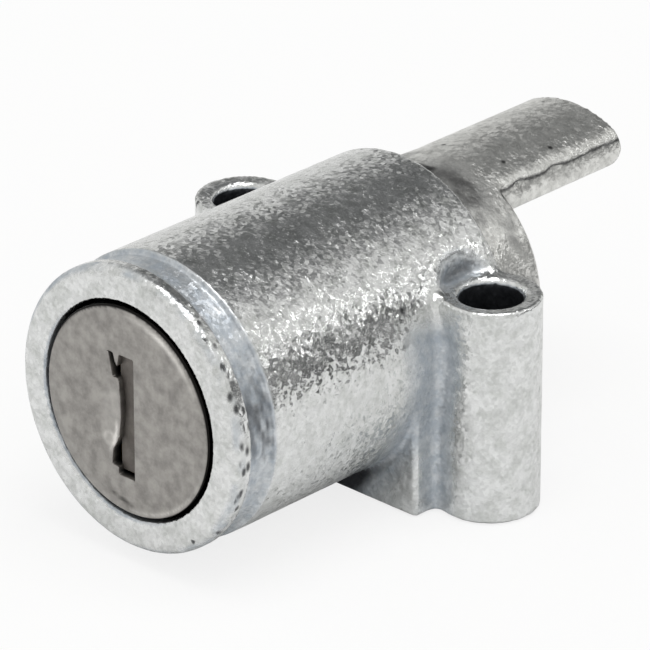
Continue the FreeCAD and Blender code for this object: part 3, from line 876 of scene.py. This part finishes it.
    def build(self, material: bpy.types.Material) -> bpy.types.Object:
        """Make the casting, dress it and let it stand for its node."""
        piece = cast_skin("housing", "housing_casting", self.distance, self.marks, self.voxel, self.zoom)
        dress(piece, material)
        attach(piece, Body.HOUSING.value)
        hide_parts("housing")
        return piece


@dataclass
class CamTongue:
    """Cam and tongue in one casting: a round that turns in the housing and a long segment behind it.

    Sizes are in millimetres; the turns of the marks are in radians from the top towards the right.
    """

    radius: float = 8.3
    start: float = 20.3
    end: float = 31.2
    edge: float = 0.25
    tongue_end: float = 43.6
    tongue_half_width: float = 4.55
    tongue_underside: float = 5.2
    tongue_overlap: float = 2.0
    tongue_root_edge: float = 0.12
    nose_radius: float = 1.2
    arris: float = 1.0
    root_fillet: float = 0.5
    tenon_half: float = 2.53
    tenon_end: float = 24.4
    socket_edge: float = 0.06
    screw_hole: float = 1.6
    counterbore: float = 4.2
    counterbore_floor: float = 27.7
    counterbore_edge: float = 0.2
    pin_place: float = 23.5
    groove_radius: float = 1.12
    groove_floor: float = 7.1
    groove_edge: float = 0.1
    parting_height: float = 6.80
    parting_start: float = 30.8
    parting_from_side: float = 0.75
    hollow_gain: float = 1.6
    hollow_floor: float = 0.15
    stray_size: float = 0.7
    stray_reach: float = 0.14
    # Painted shade: the round is darkened fully up to here, inside the housing and at its rim, with a ragged
    # edge.
    seam_shade_end: float = 26.75
    seam_shade_fade: float = 0.2
    # Painted shadow: a short black mark on the top just behind the housing's rim.
    mark_across: Bell = Bell(0.03, 0.13, power=4)
    mark_along: Bell = Bell(28.35, 0.5, power=4)
    dull_share: float = 0.55
    dull_end: tuple[float, float] = (31.0, 30.4)
    dull_cover: float = 0.5
    dull_patches: float = 1.5
    dull_patch_size: float = 0.9
    # Painted shade on the top of the round, right of the crown, beside the housing's rim.
    rim_shade_share: float = 0.80
    rim_shade_across: Bell = Bell(0.32, 0.42, power=4)
    rim_shade_along: Bell = Bell(28.4, 2.0, power=4)
    stray_pores: float = 0.002
    tongue_pores: float = 0.006
    voxel: float = 0.16
    zoom: Zoom = ((0.0, 60.0), (0.0, 60.0))

    def distance(self, points: Array) -> Array:
        """Distance field: round and tongue joined, less socket, screw hole, counterbore and stop groove.

        Args:
            points: Points in lock millimetres.

        Returns:
            Signed distance, negative in metal.
        """
        x, y, z = points.T
        from_axis = np.hypot(x, z)
        crown = from_axis - self.radius
        cam = rounded([crown, self.start - y, y - self.end], self.edge)
        nose = rounded([self.tongue_underside - z, y - self.tongue_end], self.nose_radius)
        section = rounded([crown, np.abs(x) - self.tongue_half_width], self.arris)
        tongue = rounded([nose, section, self.end - self.tongue_overlap - y], self.tongue_root_edge)
        body = smooth_union(cam, tongue, self.root_fillet)
        body = np.maximum(body, crown)
        socket = np.maximum(np.maximum(np.abs(x), np.abs(z)) - self.tenon_half, y - self.tenon_end)
        recess = np.maximum(from_axis - self.counterbore, self.counterbore_floor - y)
        body = smooth_cut(body, np.minimum(socket, from_axis - self.screw_hole), self.socket_edge)
        body = smooth_cut(body, recess, self.counterbore_edge)
        return smooth_cut(body, self.stop_groove(x, y, z), self.groove_edge)

    def marks(self, points: Array, normal: Array) -> dict[str, Array]:
        """Passivate in the hollows and a duller film on the round, painted shade and shadow at the housing's
        rim, pores, and lines along both arrises.

        Args:
            points: Points in lock millimetres.
            normal: Outward normals.

        Returns:
            Attribute values by name.
        """
        x, y, z = points.T
        turn = np.arctan2(x, z)
        hollow = self.hollow_gain * hollowness(self.distance, points, normal) - self.hollow_floor
        hollow = FULL_FILM * np.clip(hollow, 0.0, 1.0)
        strays = self.stray_reach * lattice_noise(points, self.stray_size, 41)
        # Painted shade where the round meets the housing's rim, and a painted shadow mark on top.
        behind = rise(y - strays, self.seam_shade_end, self.seam_shade_end - self.seam_shade_fade)
        mark = self.mark_across.at(turn) * self.mark_along.at(y + 2 * strays)
        dull = self.dull_share * rise(y, *self.dull_end)
        patches = self.dull_patches * lattice_noise(points, self.dull_patch_size, 43)
        dull *= np.clip(self.dull_cover + patches, 0.0, 1.0)
        # Painted shade beside the housing's rim, right of the top.
        rim_shade = (self.rim_shade_share + strays) * self.rim_shade_across.at(turn) * self.rim_shade_along.at(y)
        recess = np.maximum.reduce([hollow, dull, rim_shade, behind, mark])
        on_side = (y > self.parting_start) & (np.abs(x) > self.parting_from_side * self.tongue_half_width)
        parting = np.where(on_side, z - self.parting_height, NO_PARTING_MM)
        pores = self.stray_pores + self.tongue_pores * (y > self.end)
        return {"recess": recess, "pores": pores, "parting": parting}

    def stop_groove(self, x: Array, y: Array, z: Array) -> Array:
        """Quarter-turn groove from below to the right, with a round end at each stop."""
        along = y - self.pin_place
        sweep = np.maximum(np.abs(along) - self.groove_radius, np.maximum(-x, z))
        below = np.maximum(np.hypot(x, along) - self.groove_radius, z)
        right = np.maximum(np.hypot(z, along) - self.groove_radius, -x)
        return np.maximum(np.minimum(sweep, np.minimum(below, right)), self.groove_floor - np.hypot(x, z))

    def build(self, material: bpy.types.Material) -> bpy.types.Object:
        """Make the casting, dress it and let it stand for its node."""
        piece = cast_skin(
            "cam_tongue", "cam_tongue_casting", self.distance, self.marks, self.voxel, self.zoom,
        )
        dress(piece, material)
        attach(piece, Body.PLUG.value)
        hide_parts("cam_tongue")
        return piece


@dataclass
class PlugCap:
    """Pressed cap of the plug: round rim, keyway with rolled lips and a worn dish beside it.

    Sizes are in millimetres; the turns of the marks are in radians from the top, and those of the
    scratches from the bottom towards the left.
    """

    radius: float = 7.42
    thickness: float = 0.35
    skirt_end: float = 2.6
    rim: float = 0.15
    rim_rings: int = 9
    rim_points: int = 288
    back_face: float = 0.80
    lip: float = 0.10
    lip_rings: tuple[float, ...] = (0.035, 0.07, 0.11)
    outline_spacing: float = 0.06
    spacing: float = 0.16
    clear_of_rim: float = 0.08
    clear_of_outline: float = 0.15
    sharp_degrees: float = 40.0
    step_place: float = 6.70
    step_softness: float = 0.06
    step_depth: float = 0.05
    dish_place: tuple[float, float] = (-1.55, -0.9)
    dish_reach: tuple[float, float] = (0.95, 2.8)
    dish_flat: float = 1.3
    dish_depth: float = 0.10
    dish_shine: float = 0.16
    # Painted highlight: a crescent along the lower lip.
    lip_highlight_across: Bell = Bell(-1.10, 0.13, 0.9)
    lip_highlight_along: Bell = Bell(-2.2, 1.0, power=4)
    lip_bend_start: float = -1.6
    lip_bend: float = 0.2
    spot_place: tuple[float, float] = (-1.75, -2.5)
    spot: Bell = Bell(0.42, 0.14, 0.30)
    # Painted highlights: an arc on the step at the upper right and one low on the right of the rim.
    step_highlight: Bell = Bell(6.80, 0.17)
    step_highlight_turn: Bell = Bell(0.52, 0.40)
    lower_highlight: Bell = Bell(7.14, 0.12, 0.5)
    lower_highlight_turn: Bell = Bell(2.6, 0.5)
    scratches: tuple[tuple[float, float, float], ...] = (
        (6.46, 0.14, 0.11), (6.62, 0.10, 0.12), (6.84, 0.0, 0.07),
    )
    scratch_width: float = 0.07
    scratch_dark: float = 0.75
    # Painted shade round the rim's edge, wider at the upper right, and down the skirt.
    shade_width: float = 0.14
    shade_sway: float = 0.09
    shade_turn: float = 0.3
    shade_depth: float = 0.45
    shade_fade: tuple[float, float] = (0.05, 0.08)
    outline: tuple[tuple[float, float], ...] = (
        (0.58, 3.85), (0.58, -4.85), (-0.90, -4.85), (-0.92, -4.31), (-1.50, -4.28), (-1.47, -3.28),
        (-1.05, -2.54), (-0.84, -2.11), (-0.67, -0.76), (-0.67, 0.81), (-0.80, 1.89), (-0.92, 2.15),
        (-1.36, 2.11), (-1.74, 3.85), (-1.30, 3.85), (-1.12, 3.28), (-0.92, 2.95), (-0.74, 3.85),
    )

    def edge_distance(self, flat: Array) -> Array:
        """Distance of points in the face to the keyway's outline."""
        corners = np.array(self.outline)
        best = np.full(len(flat), 1e9)
        for start, end in zip(corners, np.roll(corners, -1, axis=0)):
            side = end - start
            share = np.clip(((flat - start) @ side) / (side @ side), 0.0, 1.0)
            best = np.minimum(best, np.hypot(*(flat - start - share[:, None] * side).T))
        return best

    def in_opening(self, flat: Array) -> Array:
        """Whether points lie inside the keyway, by counting the outline's sides to their right."""
        corners = np.array(self.outline)
        inside = np.zeros(len(flat), dtype=bool)
        for (ax, az), (bx, bz) in zip(corners, np.roll(corners, -1, axis=0)):
            if az == bz:
                continue
            across = (az > flat[:, 1]) != (bz > flat[:, 1])
            inside ^= across & (flat[:, 0] < ax + (bx - ax) * (flat[:, 1] - az) / (bz - az))
        return inside

    def rounded_outline(self) -> Array:
        """Keyway outline in steps of a few hundredths, its corners eased by two rounds of averaging."""
        corners = np.array(self.outline + self.outline[:1])
        along = np.concatenate([[0.0], np.cumsum(np.hypot(*np.diff(corners, axis=0).T))])
        at = np.linspace(0.0, along[-1], int(along[-1] / self.outline_spacing), endpoint=False)
        loop = np.stack([np.interp(at, along, corners[:, 0]), np.interp(at, along, corners[:, 1])], axis=1)
        for _ in range(2):
            loop = 0.5 * loop + 0.25 * (np.roll(loop, 1, axis=0) + np.roll(loop, -1, axis=0))
        return loop

    def depth(self, flat: Array) -> Array:
        """How far the face lies behind the cap's front plane.

        Rim and lips follow quarter circles, a faint step rises as a logistic curve, and the dish is added.

        Args:
            flat: Points in the face.

        Returns:
            One depth per point, in millimetres.
        """
        from_centre = np.hypot(*flat.T)
        past = rise(from_centre, self.radius - self.rim, self.radius)
        near = rise(self.edge_distance(flat), self.lip, 0.0)
        rolled = self.rim * (1.0 - np.sqrt(1.0 - past ** 2)) + self.lip * (1.0 - np.sqrt(1.0 - near ** 2))
        step = self.step_depth / (1.0 + np.exp(-(from_centre - self.step_place) / self.step_softness))
        return rolled + step + self.dish_depth * self.dished(flat)

    def dished(self, flat: Array) -> Array:
        """How much keys have dished the face to the left of the keyway, 0 to 1."""
        along = (flat - np.array(self.dish_place)) / np.array(self.dish_reach)
        return np.clip(self.dish_flat - (along ** 2).sum(axis=1), 0.0, 1.0)

    def rubbed(self, spots: Array) -> Array:
        """How bright the face is, 0 to 1: the dish rubbed by keys, and painted highlights on the lower lip,
        on the step near the rim and low on the right of the rim.

        Args:
            spots: Points in lock millimetres.

        Returns:
            One value per point.
        """
        x, _, z = spots.T
        from_centre = np.hypot(x, z)
        turn = np.arctan2(x, z)
        below = np.clip(self.lip_bend_start - z, 0.0, 4.0)
        worn = self.dish_shine * self.dished(spots[:, ::2])
        # Painted highlight along the lower lip.
        worn += self.lip_highlight_across.at(x + self.lip_bend * below ** 2) * self.lip_highlight_along.at(z)
        worn += self.spot.at(np.hypot(x - self.spot_place[0], z - self.spot_place[1]))
        # Painted highlights on the step at the upper right and low on the right of the rim.
        worn += self.step_highlight.at(from_centre) * self.step_highlight_turn.at(turn)
        worn += self.lower_highlight.at(from_centre) * self.lower_highlight_turn.at(turn)
        return np.clip(worn * (1.0 + 0.5 * lattice_noise(spots, 0.3, 51)), 0.0, 1.0)

    def scored(self, spots: Array) -> Array:
        """How dark the face is along a few short scratches near the bottom of the rim, 0 to 1.

        Args:
            spots: Points in lock millimetres.

        Returns:
            One value per point.
        """
        x, _, z = spots.T
        aside = np.arctan2(-x, -z)
        dark = np.zeros(len(spots))
        for radius, turn, reach in self.scratches:
            across = Bell(radius, self.scratch_width, self.scratch_dark).at(np.hypot(x, z))
            dark = np.maximum(dark, across * Bell(turn, reach, power=4).at(aside))
        return dark

    def darkened(self, spots: Array) -> Array:
        """How dark the cap is, 0 to 1: painted shade round the rim and down the skirt, and the scratches."""
        x, y, z = spots.T
        width = self.shade_width + self.shade_sway * np.cos(np.arctan2(x, z) - self.shade_turn)
        outer = (np.hypot(x, z) - self.radius + width) / self.shade_fade[0]
        shade_and_scratch = np.clip(np.maximum(outer, (y - self.shade_depth) / self.shade_fade[1]), 0.0, 1.0)
        return np.maximum(shade_and_scratch, self.scored(spots))

    def face_points(self, loop: Array) -> Array:
        """Points of the face: the outline, rings at the rim, rings beside the lips and an even field."""
        rings = [loop]
        angle = np.linspace(0.0, 2 * math.pi, self.rim_points, endpoint=False)
        for bend in np.linspace(0.0, math.pi / 2, self.rim_rings):
            reach = self.radius - self.rim + self.rim * math.sin(bend)
            rings.append(np.stack([reach * np.sin(angle), reach * np.cos(angle)], axis=1))
        ahead = np.roll(loop, -1, axis=0) - np.roll(loop, 1, axis=0)
        ahead /= np.hypot(*ahead.T)[:, None]
        out = np.stack([-ahead[:, 1], ahead[:, 0]], axis=1)
        for reach in self.lip_rings:
            for side in (-1.0, 1.0):
                beside = loop + side * reach * out
                keep = (self.edge_distance(beside) > 0.85 * reach) & ~self.in_opening(beside)
                rings.append(beside[keep])
        steps = np.arange(-self.radius, self.radius, self.spacing)
        grid = np.stack(np.meshgrid(steps, steps), axis=-1).reshape(-1, 2)
        grid[:, 0] += 0.5 * self.spacing * (np.round(grid[:, 1] / self.spacing) % 2)
        keep = np.hypot(*grid.T) < self.radius - self.rim - self.clear_of_rim
        keep &= (self.edge_distance(grid) > self.clear_of_outline) & ~self.in_opening(grid)
        rings.append(grid[keep])
        return np.vstack(rings)

    def build(self, material: bpy.types.Material) -> bpy.types.Object:
        """Make the cap from front sheet, back sheet and walls; dress it and let it stand for its node."""
        loop = self.rounded_outline()
        flat = self.face_points(loop)
        count = len(loop)
        sides = [(i, (i + 1) % count) for i in range(count)]
        flat, _, faces, _, _, _ = delaunay_2d_cdt([Vector(p) for p in flat], sides, [], 0, 1e-6)
        flat = np.array([tuple(p) for p in flat])
        faces = np.array([face for face in faces if len(face) == 3])
        faces = faces[~self.in_opening(flat[faces].mean(axis=1))]
        front = np.column_stack([flat[:, 0], self.depth(flat), flat[:, 1]])
        back = np.column_stack([flat[:, 0], np.full(len(flat), self.back_face), flat[:, 1]])
        back[np.hypot(*flat.T) > self.radius - self.thickness, 1] = self.skirt_end
        mesh = bpy.data.meshes.new("plug_cap_pressing")
        points = np.vstack([front, back])
        total = faces.tolist() + (faces[:, ::-1] + len(front)).tolist() + self.walls(faces, len(front))
        mesh.from_pydata(LAYOUT.to_frame(points).tolist(), [], total)
        solid = bmesh.new()
        solid.from_mesh(mesh)
        loose = [vert for vert in solid.verts if not vert.link_faces]
        bmesh.ops.delete(solid, geom=loose, context="VERTS")
        bmesh.ops.recalc_face_normals(solid, faces=solid.faces)
        for edge in solid.edges:
            edge.smooth = edge.calc_face_angle(0.0) < math.radians(self.sharp_degrees)
        solid.to_mesh(mesh)
        solid.free()
        shade_smooth(mesh)
        spots = LAYOUT.to_lock(read_points(mesh))
        # Painted shade with the scratches, and painted highlights with the dish rubbed by keys.
        set_attribute(mesh, "grime", self.darkened(spots))
        set_attribute(mesh, "wear", self.rubbed(spots))
        piece = place_in_scene("plug_cap_pressing", mesh)
        dress(piece, material)
        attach(piece, Body.PLUG.value)
        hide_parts("plug_cap")
        LOG.info("plug_cap_pressing: %d points", len(spots))
        return piece

    def walls(self, faces: Array, offset: int) -> list[list[int]]:
        """Quads that join the open sides of the front sheet to the back sheet.

        Args:
            faces: Triangles of the front sheet.
            offset: Index of the back sheet's first point.

        Returns:
            Quads as lists of point indices.
        """
        sides = np.vstack([faces[:, [0, 1]], faces[:, [1, 2]], faces[:, [2, 0]]])
        keys = {(int(a), int(b)) for a, b in sides}
        rims = [(a, b) for a, b in keys if (b, a) not in keys]
        return [[b, a, a + offset, b + offset] for a, b in rims]


@dataclass
class InnerPieces:
    """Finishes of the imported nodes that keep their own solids."""

    brass: PlainMetal = PlainMetal("machined_brass", "c9a55c", "a98643", 0.32)
    stamped: PlainMetal = PlainMetal("stamped_brass", "d0ad62", "b08f4c", 0.28)
    spring: PlainMetal = PlainMetal("drawn_spring_wire", "8e8f92", "6d6e70", 0.30)
    ground: PlainMetal = PlainMetal("ground_hard_steel", "7c7d80", "606164", 0.35)
    screw: PlainMetal = PlainMetal("plated_screw_steel", "c4c6c6", "9d9fa0", 0.30)
    leaf: PlainMetal = PlainMetal("blackened_shutter_steel", "7b7672", "5f5b57", 0.5)
    rubber: Rubber = Rubber("nitrile_rubber")

    def dress_all(self) -> None:
        """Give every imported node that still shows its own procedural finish."""
        springs = [f"wafer_spring_{n}" for n in WAFERS]
        groups: list[tuple[PlainMetal | Rubber, list[str]]] = [
            (self.brass, ["plug"]),
            (self.stamped, [f"wafer_{n}" for n in WAFERS]),
            (self.spring, ["shutter_pin", "shutter_spring", "cam_washer", *springs]),
            (self.ground, ["stop_pin", "hardened_pins"]),
            (self.screw, ["cam_screw"]),
            (self.leaf, ["shutter"]),
            (self.rubber, ["seal_ring"]),
        ]
        for finish, names in groups:
            material = finish.build()
            for name in names:
                dress(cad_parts[name], material)
                LOG.info("%s: %s", name, material.name)


@dataclass
class Studio:
    """White floor, a white tent with a dark opening behind on the left, and soft lamps. Lengths in metres."""

    floor_size: float = 4.0
    floor_drop: float = 0.1 * MM
    floor_colour: str = "f7f7f7"
    floor_whitening: float = 0.8
    white: str = "ffffff"
    tent: str = "f2f2f0"
    dusk: str = "b4b4b3"
    opening: str = "6f7070"
    doorway: str = "434445"
    opening_towards: tuple[float, float, float] = (-0.28, 0.66, 0.69)
    doorway_towards: tuple[float, float, float] = (0.75, 0.66, 0.0)
    sky_strength: float = 0.94
    aim: tuple[float, float, float] = (0.0, 0.0, 0.01)

    def floor(self) -> None:
        """Lay the pale floor under the lock; the camera sees it whiter, and it keeps the shadow."""
        half = self.floor_size / 2
        mesh = bpy.data.meshes.new("floor")
        corners = [(x * half, y * half, -self.floor_drop) for x, y in ((-1, -1), (1, -1), (1, 1), (-1, 1))]
        mesh.from_pydata(corners, [], [(0, 1, 2, 3)])
        plane = place_in_scene("floor", mesh)
        material, node = new_material("pale_floor")
        matt = node("ShaderNodeBsdfDiffuse", {"Color": srgb(self.floor_colour)})
        glow = node("ShaderNodeEmission", {"Color": srgb(self.white), "Strength": 1.0})
        path = node("ShaderNodeLightPath")
        seen = node(
            "ShaderNodeMath", {0: (path, "Is Camera Ray"), 1: self.floor_whitening}, operation="MULTIPLY",
        )
        shown = node("ShaderNodeMixShader", {"Fac": (seen, 0), 1: (matt, 0), 2: (glow, 0)})
        node("ShaderNodeOutputMaterial", {"Surface": (shown, 0)})
        dress(plane, material)

    def sky(self) -> None:
        """Surround the lock with a white tent.

        It has an uneven grey opening that the upper barrel mirrors, and a dark doorway low on the right.
        """
        world = bpy.data.worlds.new("studio_surround")
        bpy.context.scene.world = world
        world.use_nodes = True
        world.node_tree.nodes.clear()
        node = partial(add_node, world.node_tree)
        place = node("ShaderNodeTexCoord")
        nearness, aside = (
            node(
                "ShaderNodeVectorMath", {0: (place, "Generated"), 1: Vector(towards).normalized()},
                operation="DOT_PRODUCT",
            )
            for towards in (self.opening_towards, self.doorway_towards)
        )
        ramp = node("ShaderNodeValToRGB", {"Fac": (nearness, "Value")})
        tent, dusk, opening = srgb(self.tent), srgb(self.dusk), srgb(self.opening)
        set_ramp(ramp, [(0.0, tent), (0.74, tent), (0.87, dusk), (0.975, opening)])
        shapes = node("ShaderNodeTexNoise", {"Vector": (place, "Generated"), "Scale": 13.0, "Detail": 1.0})
        uneven = node(
            "ShaderNodeMapRange",
            {"Value": (shapes, 0), "From Min": 0.3, "From Max": 0.7, "To Min": 0.62, "To Max": 1.42},
        )
        within = node(
            "ShaderNodeMapRange", {"Value": (nearness, "Value"), "From Min": 0.78, "From Max": 0.90},
        )
        broken = node(
            "ShaderNodeMix", {"Factor": (within, 0), 6: (ramp, "Color"), 7: (uneven, 0)},
            data_type="RGBA", blend_type="MULTIPLY",
        )
        level = node("ShaderNodeSeparateXYZ", {"Vector": (place, "Generated")})
        low = node(
            "ShaderNodeMapRange",
            {"Value": (level, "Z"), "From Min": 0.14, "From Max": 0.42, "To Min": 1.0, "To Max": 0.0},
        )
        wide = node("ShaderNodeMapRange", {"Value": (aside, "Value"), "From Min": 0.70, "From Max": 0.94})
        door = node("ShaderNodeMath", {0: (low, 0), 1: (wide, 0)}, operation="MULTIPLY")
        seen = node(
            "ShaderNodeMix", {"Factor": (door, 0), 6: (broken, 2), 7: srgb(self.doorway)}, data_type="RGBA",
        )
        back = node("ShaderNodeBackground", {"Color": (seen, 2), "Strength": self.sky_strength})
        white = node("ShaderNodeBackground", {"Color": srgb(self.white), "Strength": 1.0})
        path = node("ShaderNodeLightPath")
        shown = node("ShaderNodeMixShader", {"Fac": (path, "Is Camera Ray"), 1: (back, 0), 2: (white, 0)})
        node("ShaderNodeOutputWorld", {"Surface": (shown, 0)})

    def lamp(self, name: str, place: tuple[float, float, float], size: float, power: float) -> None:
        """Hang one square soft lamp that points at the lock.

        Args:
            name: Name of the lamp.
            place: Position in metres.
            size: Side of the lamp in metres.
            power: Power in watts.
        """
        light = bpy.data.lights.new(name, "AREA")
        light.size = size
        light.energy = power
        holder = place_in_scene(name, light)
        holder.location = place
        holder.rotation_euler = (Vector(self.aim) - Vector(place)).to_track_quat("-Z", "Y").to_euler()

    def build(self) -> None:
        """Set up floor, sky and lamps."""
        self.floor()
        self.sky()
        self.lamp("overhead_softbox", (0.12, 0.0, 0.70), size=0.45, power=1.6)
        self.lamp("rear_spark", (0.60, 0.66, 0.46), size=0.07, power=0.14)


@dataclass
class PhotoCamera:
    """Camera of the photograph, found from the lock's outline. Picture of 650 by 650 pixels."""

    azimuth: float = 43.416
    elevation: float = 25.451
    distance_mm: float = 410.4
    focal_px: float = 6117.8
    picture_px: float = 650.0
    centre_px: tuple[float, float] = (337.8, 326.5)
    target_mm: tuple[float, float, float] = (0.293, 19.617, -0.539)
    sensor_mm: float = 36.0
    sight: tuple[float, float] = (0.01, 20.0)

    def build(self) -> None:
        """Place the camera and make it the scene's own."""
        azimuth = math.radians(self.azimuth)
        elevation = math.radians(self.elevation)
        level = math.cos(elevation)
        back = np.array([math.sin(azimuth) * level, -math.cos(azimuth) * level, math.sin(elevation)])
        lens = bpy.data.cameras.new("photo_camera")
        lens.sensor_width = self.sensor_mm
        lens.lens = self.focal_px / self.picture_px * self.sensor_mm
        half = self.picture_px / 2
        lens.shift_x = -(self.centre_px[0] - half) / self.picture_px
        lens.shift_y = (self.centre_px[1] - half) / self.picture_px
        lens.clip_start, lens.clip_end = self.sight
        camera = place_in_scene("photo_camera", lens)
        target = LAYOUT.to_frame(np.array(self.target_mm))
        camera.location = Vector(target + back * self.distance_mm * MM)
        camera.rotation_euler = Vector(back).to_track_quat("Z", "Y").to_euler()
        bpy.context.scene.camera = camera


def main() -> None:
    """Build the finishes, the pieces, the studio and the camera in order."""
    bpy.context.scene.view_settings.view_transform = "Standard"
    Housing().build(CastZinc("plated_zinc_casting").build())
    rubbed = CastZinc(
        "rubbed_zinc_casting", plate="ebebe8", clouded="cdcdca", passivate="9a9a99", shaded="2b2b2c",
        grain_mm=0.30, lump_mm=1.8, roughness=0.32, grain_height_mm=0.06, crystal_mm=0.34, crystal_tilt=0.22,
    )
    CamTongue().build(rubbed.build())
    PlugCap().build(SatinSteel("satin_stainless_sheet").build())
    InnerPieces().dress_all()
    Studio().build()
    PhotoCamera().build()


if __name__ == "__main__":
    main()
